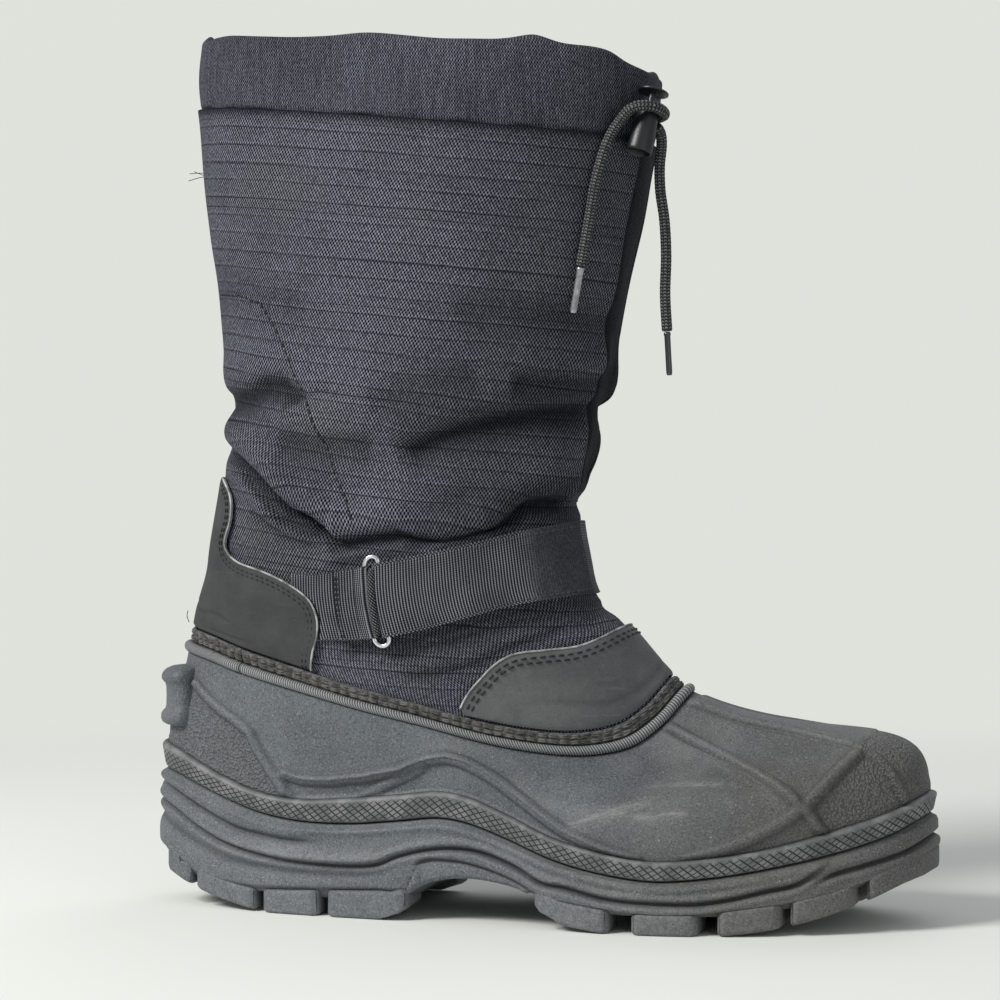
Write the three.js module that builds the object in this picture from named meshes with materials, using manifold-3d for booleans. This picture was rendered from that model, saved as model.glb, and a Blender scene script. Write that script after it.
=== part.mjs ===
// Snow boot for the right foot: lugged rubber outsole, moulded rubber shell, padded nylon shaft with
// a drawcord cuff and an instep strap. Millimetres, +X to the toe, +Y to the inner side of the foot,
// +Z up. The sections are worked out with x = 0 at the back of the heel, and the whole boot is then
// moved so that the origin is under the middle of its outline, on the ground.

import * as THREE from "three";
import { mergeVertices } from "three/addons/utils/BufferGeometryUtils.js";
import Module from "manifold-3d";

const wasm = await Module();
wasm.setup();

// ---------------------------------------------------------------- driving sizes
const LAST_LENGTH = 322;        // outline of the shell at the parting line
const OUTLINE_CENTRE = { x: 161.2, y: 0.15 };
const GAP = 0.3;                // between pieces that meet face to face
const SURFACE_GAP = 0.8;        // between faceted pieces laid on the curved shaft
const SHELL_WALL = 3;
const SHAFT_WALL = 4.2;
const EDGE_OFFSET = 3.4;        // from the shaft's surface to the outside of the shell's top edge
const LAP = 0.93;               // how far up the shell's wall the shaft's lower edge starts
const SOLE_WALL = 4.6;
const SOLE_FLARE = 3;           // the sidewall spreads this far past the parting line
const INSOLE_THICKNESS = 5;
const LUG_HEIGHT = 8.4;
const LUG_PROUD = 1.2;
const SIDES = 48;               // points round each ring
const WEBBING = 1.1;            // thickness of one layer of strap
const WIRE = 2.2;               // strap ring wire
const CORD = 4.5;

// ---------------------------------------------------------------- tables
const table = (columns, rows) =>
  rows.map((row) => Object.fromEntries(columns.map((name, index) => [name, row[index]])));

// half widths of the sole to the outer and inner side; t runs from heel back (0) to toe (1)
const OUTLINE = table(["t", "outer", "inner"], [
  [0.0, 42, 42],
  [0.18, 42.5, 42.5],
  [0.42, 44, 40],
  [0.7, 59, 53],
  [1.0, 54, 52],
]);

// wavy line where shell and sole part, and the top of the knurled band above it
const EDGE = table(["t", "parting", "band"], [
  [0.0, 56, 67],
  [0.04, 53, 63.5],
  [0.1, 46.5, 55.5],
  [0.16, 40.5, 49],
  [0.22, 37.6, 46.6],
  [0.29, 37.4, 47.9],
  [0.36, 39.5, 50.2],
  [0.41, 41.2, 52],
  [0.45, 39.6, 50.3],
  [0.5, 34.5, 44.5],
  [0.56, 27.3, 36.3],
  [0.62, 22.8, 31.2],
  [0.69, 20.3, 28.2],
  [0.76, 22, 30],
  [0.83, 25.8, 33.8],
  [0.9, 31, 40],
  [0.96, 37.2, 46.3],
  [1.0, 44, 52.5],
]);

// heights under the foot: tread is the face of the lugs, base the sole between them, deck the tray
const PROFILE = table(["t", "tread", "base", "deck"], [
  [0.0, 16, 22, 31],
  [0.07, 7.5, 14, 28.5],
  [0.13, 2.6, 9, 27.5],
  [0.18, 0, 7, 27],
  [0.27, 0, 6.5, 27],
  [0.35, 0, 6.5, 27],
  [0.4, 14, 15, 26.5],
  [0.45, 17.5, 17.5, 25.5],
  [0.5, 15.5, 16, 22.5],
  [0.535, 10.5, 13, 20],
  [0.56, 4.2, 10.5, 18],
  [0.6, 1.2, 8, 15.5],
  [0.64, 0, 6.5, 13.5],
  [0.7, 0, 6.5, 12.8],
  [0.76, 0, 6.5, 13],
  [0.84, 3, 9, 16],
  [0.92, 10.4, 16, 22.5],
  [1.0, 22, 27, 33],
]);

// the shell's top edge, where the shaft comes out of it: height and half width
const RIM = table(["t", "z", "half"], [
  [0.0, 104.5, 32],
  [0.08, 101.7, 34],
  [0.15, 97.7, 36],
  [0.3, 90, 38.5],
  [0.41, 84, 39.5],
  [0.53, 78, 39.5],
  [0.67, 70.2, 38],
  [0.78, 66.4, 35.5],
  [0.85, 66.3, 33],
  [0.91, 69.5, 30],
  [0.96, 77.5, 28],
  [1.0, 88, 26],
]);

// sections of the shaft's outer surface; rim says how far a section still follows the rim's curve
const SHAFT = table(
  ["name", "level", "back", "front", "half", "zBack", "zFront", "dip", "blunt", "rim"],
  [
    ["rim", 0, 12, 224, 39.5, 104.5, 88, 0, 2.1, 1],
    ["vamp", 1, 13.2, 210.5, 40.5, 114, 102.5, -6, 2.1, 0.5],
    ["instep", 2, 15, 200, 41.5, 123, 115, -12, 2.15, 0.1],
    ["throat", 3, 19.5, 186, 42.5, 137, 129, -8, 2.2, 0],
    ["ankle", 4, 22, 181.5, 43.5, 150, 144, -3, 2.2, 0],
    ["strap", 5, 27, 178.5, 44.5, 178, 166, 0, 2.2, 0],
    ["bend", 6, 29.5, 184, 46.5, 200, 190, 0, 2.2, 0],
    ["mid", 7, 28.2, 190.5, 48.5, 228, 222, 0, 2.2, 0],
    ["calf", 8, 22.2, 200.5, 51.5, 278, 270, 0, 2.25, 0],
    ["seam", 9, 15.5, 210.5, 54, 332, 313, -1.5, 2.3, 0],
  ],
);
const SEAM_LEVEL = 9;

// top edge of the cuff: highest at the back, a step down at the drawcord's front opening
const CUFF_TOP = table(["t", "z"], [
  [0.0, 362],
  [0.2, 357.5],
  [0.45, 353.5],
  [0.7, 351.5],
  [0.85, 350.5],
  [0.93, 348],
  [1.0, 341],
]);

// front edge of the heel overlay, by level up the shaft
const HEEL_EDGE = table(["level", "t"], [
  [0, 0.32],
  [0.9, 0.325],
  [1.9, 0.343],
  [2.4, 0.362],
  [2.75, 0.365],
  [3.1, 0.345],
  [3.4, 0.29],
  [3.6, 0.225],
  [3.75, 0.14],
  [4.05, 0.09],
  [4.45, 0.098],
  [4.75, 0.085],
  [5, 0.04],
]);

// top edge of the vamp overlay, by place along the shaft
const VAMP_EDGE = table(["t", "level"], [
  [0.62, 0.55],
  [0.65, 0.95],
  [0.69, 1.4],
  [0.74, 1.83],
  [0.79, 2.03],
  [0.85, 2.03],
  [0.92, 1.98],
  [1.0, 2.08],
]);

// edges of the instep strap, by turn: half turns from the heel round the outer side and the front
const STRAP = table(["turn", "low", "high"], [
  [0.41, 2.2, 3.72],
  [0.51, 2.4, 3.98],
  [0.7, 2.9, 4.4],
  [0.8, 3.02, 4.6],
  [1.0, 3.02, 4.78],
  [1.2, 3.02, 4.6],
  [1.3, 2.9, 4.4],
  [1.49, 2.4, 3.98],
  [1.59, 2.2, 3.72],
]);

// lugs along one edge of the sole, from x to x, and how far in they reach
const EDGE_LUGS = table(["from", "to", "depth"], [
  [4.5, 20, 20],
  [21.8, 52, 17],
  [55, 81, 17],
  [84.5, 118, 19],
  [174, 205, 17],
  [214, 240, 18],
  [247, 271, 18],
  [274, 298, 17],
  [301.5, 317.5, 15],
]);

// lugs down the middle: place, length and width
const MIDDLE_LUGS = table(["x", "length", "width"], [
  [38, 20, 22],
  [68, 20, 26],
  [98, 20, 26],
  [190, 20, 34],
  [218, 18, 44],
  [246, 18, 44],
  [274, 18, 38],
]);

// ---------------------------------------------------------------- curves and sections
const smooth = (value) => THREE.MathUtils.smoothstep(value, 0, 1);
const { clamp, lerp } = THREE.MathUtils;

// a smooth curve through a table's rows, from the column `key` to the column `value`
function through(rows, key, value) {
  const at = rows.map((row) => row[key]);
  const to = rows.map((row) => row[value]);
  const last = rows.length - 1;
  const slope = at.map((_, i) => {
    const before = Math.max(i - 1, 0);
    const after = Math.min(i + 1, last);
    return (to[after] - to[before]) / (at[after] - at[before]);
  });
  return (place) => {
    const x = clamp(place, at[0], at[last]);
    let i = 0;
    while (i < last - 1 && x >= at[i + 1]) i += 1;
    const span = at[i + 1] - at[i];
    const u = (x - at[i]) / span;
    const fromStart = (2 * u ** 3 - 3 * u ** 2 + 1) * to[i] + (u ** 3 - 2 * u ** 2 + u) * span * slope[i];
    const fromEnd = (3 * u ** 2 - 2 * u ** 3) * to[i + 1] + (u ** 3 - u ** 2) * span * slope[i + 1];
    return fromStart + fromEnd;
  };
}

const outerHalf = through(OUTLINE, "t", "outer");
const innerHalf = through(OUTLINE, "t", "inner");
const partingZ = through(EDGE, "t", "parting");
const bandZ = through(EDGE, "t", "band");
const treadCurve = through(PROFILE, "t", "tread");
const treadZ = (t) => Math.max(treadCurve(t), 0);
const baseZ = through(PROFILE, "t", "base");
const deckZ = through(PROFILE, "t", "deck");
const rimZ = through(RIM, "t", "z");
const rimHalf = through(RIM, "t", "half");
const cuffTopZ = through(CUFF_TOP, "t", "z");
const shaftColumns = ["back", "front", "half", "zBack", "zFront", "dip", "blunt", "rim"];
const shaftAt = Object.fromEntries(
  shaftColumns.map((name) => [name, through(SHAFT, "level", name)]),
);

// angles run from 0 at the heel to PI at the toe on the outer side, and to -PI on the inner side
const alongOf = (angle) => (1 - Math.cos(angle)) / 2;
const sideOf = (angle) => (Math.sin(angle) >= -1e-9 ? -1 : 1);
const angleOf = (t) => Math.acos(clamp(1 - 2 * t, -1, 1));
const ellipse = (t, blunt) => Math.max(0, 1 - Math.abs(2 * t - 1) ** blunt) ** (1 / blunt);

// the foot's curve to the inner side from the waist to the toe
const SWING = { sole: 6, rim: 4 };
const swing = (t, amount) => amount * smooth((t - 0.35) / 0.65);

// a point of the sole's outline, grown or shrunk
function solePoint(angle, grow, height) {
  const t = alongOf(angle);
  const side = sideOf(angle);
  const half = (side < 0 ? outerHalf(t) : innerHalf(t)) + grow;
  const x = -grow + (LAST_LENGTH + 2 * grow) * t;
  const y = side * half * ellipse(t, t < 0.5 ? 2.3 : 2.35) + swing(t, SWING.sole);
  return new THREE.Vector3(x, y, height(clamp(x / LAST_LENGTH, 0, 1)));
}

// a point of the shaft's outer surface
function shaftPoint(angle, level) {
  const t = alongOf(angle);
  const side = sideOf(angle);
  const at = Object.fromEntries(shaftColumns.map((name) => [name, shaftAt[name](level)]));
  const rimLine = lerp(SHAFT[0].zBack, SHAFT[0].zFront, t);
  const z = lerp(at.zBack, at.zFront, t) + 4 * at.dip * t * (1 - t) + at.rim * (rimZ(t) - rimLine);
  const half = at.half * (1 + at.rim * (rimHalf(t) / SHAFT[0].half - 1));
  const y = side * half * ellipse(t, at.blunt) + swing(t, SWING.rim) * at.rim;
  return new THREE.Vector3(lerp(at.back, at.front, t), y, z);
}

function shaftNormal(angle, level) {
  const step = 0.02;
  const round = shaftPoint(angle + step, level).sub(shaftPoint(angle - step, level));
  const low = Math.max(level - step, 0);
  const up = shaftPoint(angle, low + 2 * step).sub(shaftPoint(angle, low));
  return round.cross(up).normalize();
}

const onShaft = (angle, level, offset) =>
  shaftPoint(angle, level).addScaledVector(shaftNormal(angle, level), offset);

// the level that lies a given distance up the shaft's surface from the rim
function levelAbove(angle, distance) {
  const step = 0.02;
  let level = 0;
  let walked = 0;
  let here = shaftPoint(angle, 0);
  while (walked < distance) {
    const next = shaftPoint(angle, level + step);
    walked += next.distanceTo(here);
    here = next;
    level += step;
  }
  return level;
}

// angles of the ring points: the shell's meridians drift back from the sole to the rim
const soleAngles = Array.from({ length: SIDES }, (_, i) => (2 * Math.PI * i) / SIDES);
const drift = (t) => 1.5 * t - 0.5 * t * t;
const rimAngle = (angle) => -sideOf(angle) * angleOf(drift(alongOf(angle)));
const rimAngles = soleAngles.map(rimAngle);

// a point of the shell's outer surface, from the knurled band (0) to the top edge (1)
function shellPoint(angle, up) {
  const foot = solePoint(angle, 0, bandZ);
  const top = onShaft(rimAngle(angle), 0, EDGE_OFFSET);
  const reach = foot.clone().sub(top);
  const rise = Math.abs(reach.z);
  const toe = smooth((alongOf(angle) - 0.5) / 0.5);
  const leave = new THREE.Vector3(0.02 * reach.x, 0.02 * reach.y, rise * (0.55 + 0.47 * toe));
  const arrive = new THREE.Vector3(
    reach.x * (0.3 + 0.25 * toe),
    reach.y * (0.5 + 0.1 * toe),
    -0.45 * (1 - toe) * rise - 0.24 * toe * Math.abs(reach.x),
  );
  return new THREE.CubicBezierCurve3(
    foot,
    foot.clone().add(leave),
    top.clone().add(arrive),
    top,
  ).getPoint(up);
}

// ---------------------------------------------------------------- meshes
// rings of equal count joined in order; `loop` joins the last to the first, and otherwise the two
// ends are closed by a ladder across the ring, point i to point n - i
function loft(rings, loop = false) {
  const count = rings[0].length;
  const points = rings.flat().flatMap((p) => [p.x, p.y, p.z]);
  const faces = [];
  const quad = (a, b, c, d) => faces.push(a, b, c, a, c, d);
  const spans = loop ? rings.length : rings.length - 1;
  for (let k = 0; k < spans; k += 1) {
    const low = k * count;
    const high = ((k + 1) % rings.length) * count;
    for (let i = 0; i < count; i += 1) {
      const j = (i + 1) % count;
      quad(low + i, low + j, high + j, high + i);
    }
  }
  if (!loop) {
    const top = (rings.length - 1) * count;
    for (let i = 0; i < count / 2; i += 1) {
      const j = i + 1;
      const mirrorI = (count - i) % count;
      const mirrorJ = count - j;
      quad(i, mirrorI, mirrorJ, j);
      quad(top + i, top + j, top + mirrorJ, top + mirrorI);
    }
  }
  return closedGeometry(points, faces);
}

// a geometry whose faces point out: zero-area faces left out, and turned round if inside out
function closedGeometry(points, faces) {
  const raw = new THREE.BufferGeometry();
  raw.setAttribute("position", new THREE.Float32BufferAttribute(points, 3));
  raw.setIndex(faces);
  const merged = mergeVertices(raw, 1e-4);
  const index = Array.from(merged.index.array);
  const place = (i) => new THREE.Vector3().fromBufferAttribute(merged.attributes.position, i);
  const kept = [];
  let volume = 0;
  for (let f = 0; f < index.length; f += 3) {
    const [a, b, c] = index.slice(f, f + 3);
    if (a !== b && b !== c && a !== c) {
      kept.push([a, b, c]);
      volume += place(a).dot(place(b).cross(place(c)));
    }
  }
  merged.setIndex(kept.flatMap(([a, b, c]) => (volume > 0 ? [a, b, c] : [a, c, b])));
  merged.computeVertexNormals();
  return merged;
}

// rings moved along their own surface normals
function offsetRings(rings, distance) {
  const count = rings[0].length;
  return rings.map((ring, k) => {
    const below = rings[Math.max(k - 1, 0)];
    const above = rings[Math.min(k + 1, rings.length - 1)];
    return ring.map((point, i) => {
      const round = ring[(i + 1) % count].clone().sub(ring[(i + count - 1) % count]);
      const up = above[i].clone().sub(below[i]);
      return point.clone().addScaledVector(round.cross(up).normalize(), distance);
    });
  });
}

// a slab laid on the shaft: `grid` holds rows of {angle, level}
function slab(grid, inside, outside) {
  const rows = grid.length;
  const columns = grid[0].length;
  const points = [];
  for (const offset of [inside, outside]) {
    for (const row of grid) {
      for (const { angle, level } of row) points.push(...onShaft(angle, level, offset).toArray());
    }
  }
  const faces = [];
  const quad = (a, b, c, d) => faces.push(a, b, c, a, c, d);
  const at = (layer, r, c) => layer * rows * columns + r * columns + c;
  for (let r = 0; r < rows - 1; r += 1) {
    for (let c = 0; c < columns - 1; c += 1) {
      quad(at(0, r, c), at(0, r, c + 1), at(0, r + 1, c + 1), at(0, r + 1, c));
      quad(at(1, r, c), at(1, r + 1, c), at(1, r + 1, c + 1), at(1, r, c + 1));
    }
  }
  for (let c = 0; c < columns - 1; c += 1) {
    quad(at(0, 0, c), at(1, 0, c), at(1, 0, c + 1), at(0, 0, c + 1));
    quad(at(0, rows - 1, c), at(0, rows - 1, c + 1), at(1, rows - 1, c + 1), at(1, rows - 1, c));
  }
  for (let r = 0; r < rows - 1; r += 1) {
    quad(at(0, r, 0), at(0, r + 1, 0), at(1, r + 1, 0), at(1, r, 0));
    quad(at(0, r, columns - 1), at(1, r, columns - 1), at(1, r + 1, columns - 1), at(0, r + 1, columns - 1));
  }
  return closedGeometry(points, faces);
}

// a place on the strap: w runs across the webbing from its lower edge (0) to its upper (1)
const onStrap = (turn, w, rise) =>
  onShaft(turn * Math.PI, lerp(strapLow(turn), strapHigh(turn), w), rise);

// a folded band: `path` holds {turn, rise} along the shaft, `across` the places from edge to edge
function foldedBand(path, across, thickness) {
  const rings = across.map((w) => {
    const centres = path.map(({ turn, rise }) => onStrap(turn, w, rise));
    const faces = path.map(({ turn }, k) => {
      const before = centres[Math.max(k - 1, 0)];
      const after = centres[Math.min(k + 1, centres.length - 1)];
      const upward = onStrap(turn, w + 0.02, 0).sub(onStrap(turn, w - 0.02, 0));
      return after.clone().sub(before).cross(upward).normalize();
    });
    const [front, back] = [1, -1].map((sign) =>
      centres.map((point, k) => point.clone().addScaledVector(faces[k], (sign * thickness) / 2)),
    );
    return [...front, ...back.reverse()];
  });
  return bandBody(rings);
}

// closes a stack of band sections whose two long sides run forward and back
function bandBody(rings) {
  const count = rings[0].length;
  const points = rings.flat().flatMap((p) => [p.x, p.y, p.z]);
  const faces = [];
  const quad = (a, b, c, d) => faces.push(a, b, c, a, c, d);
  for (let k = 0; k < rings.length - 1; k += 1) {
    for (let i = 0; i < count; i += 1) {
      const j = (i + 1) % count;
      quad(k * count + i, k * count + j, (k + 1) * count + j, (k + 1) * count + i);
    }
  }
  const top = (rings.length - 1) * count;
  for (let i = 0; i < count / 2 - 1; i += 1) {
    const a = count - 1 - i;
    quad(i, a, a - 1, i + 1);
    quad(top + i, top + i + 1, top + a - 1, top + a);
  }
  return closedGeometry(points, faces);
}

const strapLow = through(STRAP, "turn", "low");
const strapHigh = through(STRAP, "turn", "high");

function toManifold(geometry) {
  const bare = geometry.clone();
  bare.deleteAttribute("normal");
  bare.deleteAttribute("uv");
  const merged = mergeVertices(bare, 1e-4);
  return new wasm.Manifold(
    new wasm.Mesh({
      numProp: 3,
      vertProperties: new Float32Array(merged.attributes.position.array),
      triVerts: new Uint32Array(merged.index.array),
    }),
  );
}

function fromManifold(solid) {
  const { vertProperties, triVerts } = solid.getMesh();
  const geometry = new THREE.BufferGeometry();
  geometry.setAttribute("position", new THREE.BufferAttribute(new Float32Array(vertProperties), 3));
  geometry.setIndex(new THREE.BufferAttribute(new Uint32Array(triVerts), 1));
  geometry.computeVertexNormals();
  return geometry;
}

// a tube along a route of hand-placed points
function tube(points, diameter, steps) {
  const route = new THREE.CatmullRomCurve3(points.map(([x, y, z]) => new THREE.Vector3(x, y, z)));
  const section = new THREE.Shape();
  const around = 8;
  for (let i = 0; i < around; i += 1) {
    const angle = (2 * Math.PI * i) / around;
    const place = [(diameter / 2) * Math.cos(angle), (diameter / 2) * Math.sin(angle)];
    if (i === 0) section.moveTo(...place);
    else section.lineTo(...place);
  }
  section.closePath();
  return new THREE.ExtrudeGeometry(section, { steps, extrudePath: route });
}

// ---------------------------------------------------------------- outsole and insole
const RINGS_OF_SOLE = [
  { grow: -5, z: baseZ },
  { grow: 0.6, z: (t) => baseZ(t) + 1.6 },
  { grow: SOLE_FLARE, z: (t) => lerp(baseZ(t), partingZ(t), 0.3) + 2 },
  { grow: 1.8, z: (t) => lerp(baseZ(t), partingZ(t), 0.65) + 1 },
  { grow: -0.5, z: partingZ },
  { grow: -SOLE_WALL, z: partingZ },
  { grow: -SOLE_WALL - 0.4, z: deckZ },
];

// a prism over a plan outline that follows the tread underneath
function lug(plan) {
  const turnedLeft = THREE.ShapeUtils.area(plan.map(([x, y]) => new THREE.Vector2(x, y))) > 0;
  const outline = turnedLeft ? plan : [...plan].reverse();
  const tops = outline.map(([x, y]) => {
    const t = clamp(x / LAST_LENGTH, 0, 1);
    return new THREE.Vector3(x, y, treadZ(t) + LUG_HEIGHT);
  });
  const bottoms = tops.map((point) => point.clone().setZ(point.z - LUG_HEIGHT));
  const count = outline.length;
  const points = [...bottoms, ...tops].flatMap((p) => p.toArray());
  const flat = THREE.ShapeUtils.triangulateShape(outline.map(([x, y]) => new THREE.Vector2(x, y)), []);
  const faces = flat.flatMap(([a, b, c]) => [a, c, b, count + a, count + b, count + c]);
  for (let i = 0; i < count; i += 1) {
    const j = (i + 1) % count;
    faces.push(i, j, count + j, i, count + j, count + i);
  }
  return closedGeometry(points, faces);
}

// the outline's point at a distance x from the heel, grown sideways
function edgeAt(x, side, grow) {
  const t = clamp((x + grow) / (LAST_LENGTH + 2 * grow), 0, 1);
  return solePoint(-side * angleOf(t), grow, treadZ);
}

function edgeLug({ from, to, depth }, side) {
  const corner = 3;
  const stops = [from, from + corner, lerp(from, to, 0.5), to - corner, to];
  const draw = [-2.5, 0, 0, 0, -2.5];
  const outside = stops.map((x, i) => edgeAt(x, side, SOLE_FLARE + LUG_PROUD + draw[i]));
  const inside = [to, from].map((x) => edgeAt(x, side, SOLE_FLARE).add(new THREE.Vector3(0, -side * depth, 0)));
  const middle = swing(clamp(from / LAST_LENGTH, 0, 1), SWING.sole);
  const keep = (point) => [point.x, side * Math.max(side * (point.y - middle), 3) + middle];
  return lug([...outside, ...inside].map(keep));
}

function middleLug({ x, length, width }) {
  const lean = 4;
  const y = swing(x / LAST_LENGTH, SWING.sole) - 1;
  return lug([
    [x - length / 2, y - width / 2 + lean],
    [x, y - width / 2],
    [x + length / 2, y - width / 2 + lean],
    [x + length / 2, y + width / 2 - lean],
    [x, y + width / 2],
    [x - length / 2, y + width / 2 - lean],
  ]);
}

function toeLug() {
  const angles = [0.88, 0.94, 1, -0.94, -0.88].map((share) => share * Math.PI);
  const outside = angles.map((angle) => solePoint(angle, SOLE_FLARE + LUG_PROUD - 0.6, treadZ));
  const inside = [-0.85, 0.85].map((share) => solePoint(share * Math.PI, -9, treadZ));
  return lug([...outside, ...inside].map((point) => [point.x, point.y]));
}

function outsoleGeometry() {
  const body = loft(RINGS_OF_SOLE.map(({ grow, z }) => soleAngles.map((a) => solePoint(a, grow, z))));
  let solid = toManifold(body);
  for (const row of EDGE_LUGS) {
    for (const side of [-1, 1]) solid = solid.add(toManifold(edgeLug(row, side)));
  }
  for (const row of MIDDLE_LUGS) solid = solid.add(toManifold(middleLug(row)));
  return fromManifold(solid.add(toManifold(toeLug())));
}

function insoleGeometry() {
  const ring = (grow, z) => soleAngles.map((angle) => solePoint(angle, grow, z));
  const grow = -SOLE_WALL - 1.4;
  return loft([
    ring(grow, (t) => deckZ(t) + GAP),
    ring(grow, (t) => deckZ(t) + GAP + INSOLE_THICKNESS),
  ]);
}

// ---------------------------------------------------------------- shell
function shellGeometry() {
  const ups = [0, 0.2, 0.4, 0.6, 0.8, LAP, 1];
  const outside = ups.map((up) => soleAngles.map((angle) => shellPoint(angle, up)));
  const inside = offsetRings(outside, -SHELL_WALL).reverse();
  inside[0] = rimAngles.map((angle) => onShaft(angle, 0, EDGE_OFFSET - SHELL_WALL));
  const foot = (grow, rise) =>
    soleAngles.map((angle) => solePoint(angle, grow, (t) => partingZ(t) + rise));
  const wall = loft(
    [foot(-0.6, GAP), foot(1, 4), ...outside, ...inside, foot(-SHELL_WALL - 0.6, GAP)],
    true,
  );
  const hollow = toManifold(loft([...inside].reverse()));
  return fromManifold(toManifold(wall).add(toManifold(heelLedge()).subtract(hollow)));
}

// the ledge round the back of the heel that holds a snowshoe strap: two flanges and a web
function heelLedge() {
  const section = [
    [10, 99], [3, 98], [-1.4, 96.5], [-2.9, 94.2], [-1.8, 92], [-0.8, 90],
    [-0.8, 80.5], [-2.8, 78.6], [-3, 75.6], [0.4, 73.6], [5, 73], [10, 73],
  ];
  const centre = 24;
  const reach = THREE.MathUtils.degToRad(68);
  const stations = [-1, -0.75, -0.5, -0.25, 0, 0.25, 0.5, 0.75, 1].map((share) => share * reach);
  return bandBody(stations.map((angle) => section.map(([x, z]) => {
    const radius = centre - x;
    return new THREE.Vector3(centre - radius * Math.cos(angle), radius * Math.sin(angle), z);
  })));
}

// ---------------------------------------------------------------- edge strip
// bead and flange in one: s is the distance up the shaft from the shell's edge, n the offset
const STRIP_SECTION = table(["s", "n"], [
  [0.3, 0.7],
  [10, 0.7],
  [10.4, 2],
  [4.6, 2.1],
  [3.9, 4],
  [2.6, 5],
  [1.3, 5],
  [0.3, 4],
]);

function edgeStripGeometry() {
  const rings = STRIP_SECTION.map(({ s, n }) =>
    rimAngles.map((angle) => onShaft(angle, levelAbove(angle, s), n)),
  );
  return loft(rings, true);
}

// ---------------------------------------------------------------- shaft, cuff and overlays
function upperGeometry() {
  const ups = [LAP, 1];
  const under = offsetRings(
    [0.8, ...ups].map((up) => soleAngles.map((angle) => shellPoint(angle, up))),
    -SHELL_WALL - 0.6,
  ).slice(1);
  const levels = [0, 0.5, 1, 1.5, 2, 2.5, 3, 3.5, 4, 4.5, 5, 6, 7, 8, SEAM_LEVEL];
  const above = levels.map((level) => rimAngles.map((angle) => shaftPoint(angle, level)));
  const outside = [...under, ...above];
  const inside = offsetRings(outside, -SHAFT_WALL).filter((_, k) => k % 2 === 0).reverse();
  inside[0].forEach((point, i) => point.setZ(outside.at(-1)[i].z));
  return loft([...outside, ...inside], true);
}

function cuffPoint(angle, up, offset) {
  const t = alongOf(angle);
  const side = sideOf(angle);
  const seam = shaftPoint(angle, SEAM_LEVEL);
  const back = lerp(17, 17.5, up) - offset;
  const front = lerp(209, 213, up) + offset;
  const y = side * (lerp(52.6, 52, up) + offset) * ellipse(t, 2.3);
  return new THREE.Vector3(lerp(back, front, t), y, lerp(seam.z + SURFACE_GAP, cuffTopZ(t), up));
}

function cuffGeometry() {
  const sections = [
    { up: 0, offset: 0 },
    { up: 0.5, offset: 0.5 },
    { up: 0.93, offset: -0.2 },
    { up: 1, offset: -1.8 },
    { up: 0.93, offset: -3.6 },
    { up: 0.5, offset: -4 },
    { up: 0, offset: -3.8 },
  ];
  return loft(sections.map(({ up, offset }) => rimAngles.map((a) => cuffPoint(a, up, offset))), true);
}

const OVERLAY = { inside: 1.3, outside: 2.5 };
const STRIP_TOP = 11.6;          // clear of the edge strip's flange

function heelOverlayGeometry() {
  const edge = through(HEEL_EDGE, "level", "t");
  const columns = 19;
  const rows = 13;
  const top = 5;
  const grid = Array.from({ length: rows }, (_, r) =>
    Array.from({ length: columns }, (_, c) => {
      const across = (2 * c) / (columns - 1) - 1;
      const up = r / (rows - 1);
      const frontAngle = (level) => angleOf(edge(level));
      const start = levelAbove(across * frontAngle(1), STRIP_TOP);
      const level = lerp(start, top, up);
      return { angle: across * frontAngle(level), level };
    }),
  );
  return slab(grid, OVERLAY.inside, OVERLAY.outside);
}

function vampOverlayGeometry() {
  const edge = through(VAMP_EDGE, "t", "level");
  const columns = 21;
  const rows = 5;
  const firstAngle = angleOf(0.632);
  const grid = Array.from({ length: rows }, (_, r) =>
    Array.from({ length: columns }, (_, c) => {
      const angle = lerp(firstAngle, 2 * Math.PI - firstAngle, c / (columns - 1));
      const start = levelAbove(angle, STRIP_TOP);
      const end = Math.max(edge(alongOf(angle)), start + 0.08);
      return { angle, level: lerp(start, end, r / (rows - 1)) };
    }),
  );
  return slab(grid, OVERLAY.inside, OVERLAY.outside);
}

// ---------------------------------------------------------------- strap
const RING_TURN = 0.514;        // the wire ring's place along the shaft
const LAYER = { inner: SURFACE_GAP + WEBBING / 2, outer: SURFACE_GAP + 1.5 * WEBBING + 0.4 };
const FOLD_RADIUS = WIRE / 2 + GAP + 0.1 + WEBBING / 2;
const MM_PER_TURN = 251;        // along the shaft's side, near the ring
const BAR_SPREAD = (FOLD_RADIUS + WEBBING / 2 + 0.2) / MM_PER_TURN;
const BAR_RISE = LAYER.inner + FOLD_RADIUS;

// the half turn of webbing round one bar of the ring, from the inner layer to the outer
function foldRound(barTurn, direction) {
  return [-0.4, -0.2, 0, 0.2, 0.4, 0.6].map((share) => ({
    turn: barTurn - (direction * Math.cos(share * Math.PI) * FOLD_RADIUS) / MM_PER_TURN,
    rise: BAR_RISE + Math.sin(share * Math.PI) * FOLD_RADIUS,
  }));
}

// places along the strap, a fixed step apart, at one height off the shaft
const run = (from, to, count, rise) =>
  Array.from({ length: count }, (_, i) => ({ turn: lerp(from, to, i / (count - 1)), rise }));

function strapGeometry() {
  const path = [
    ...run(1.585, 0.56, 27, LAYER.inner),
    ...foldRound(RING_TURN + BAR_SPREAD, 1),
    ...run(0.59, 0.96, 11, LAYER.outer),
  ];
  return foldedBand(path, [0.02, 0.34, 0.66, 0.98], WEBBING);
}

function strapAnchorGeometry() {
  const path = [
    ...run(0.425, 0.49, 3, LAYER.inner),
    ...foldRound(RING_TURN - BAR_SPREAD, -1),
    ...run(0.47, 0.45, 2, LAYER.outer),
  ];
  return foldedBand(path, [0.03, 0.35, 0.65, 0.97], WEBBING);
}

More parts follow.
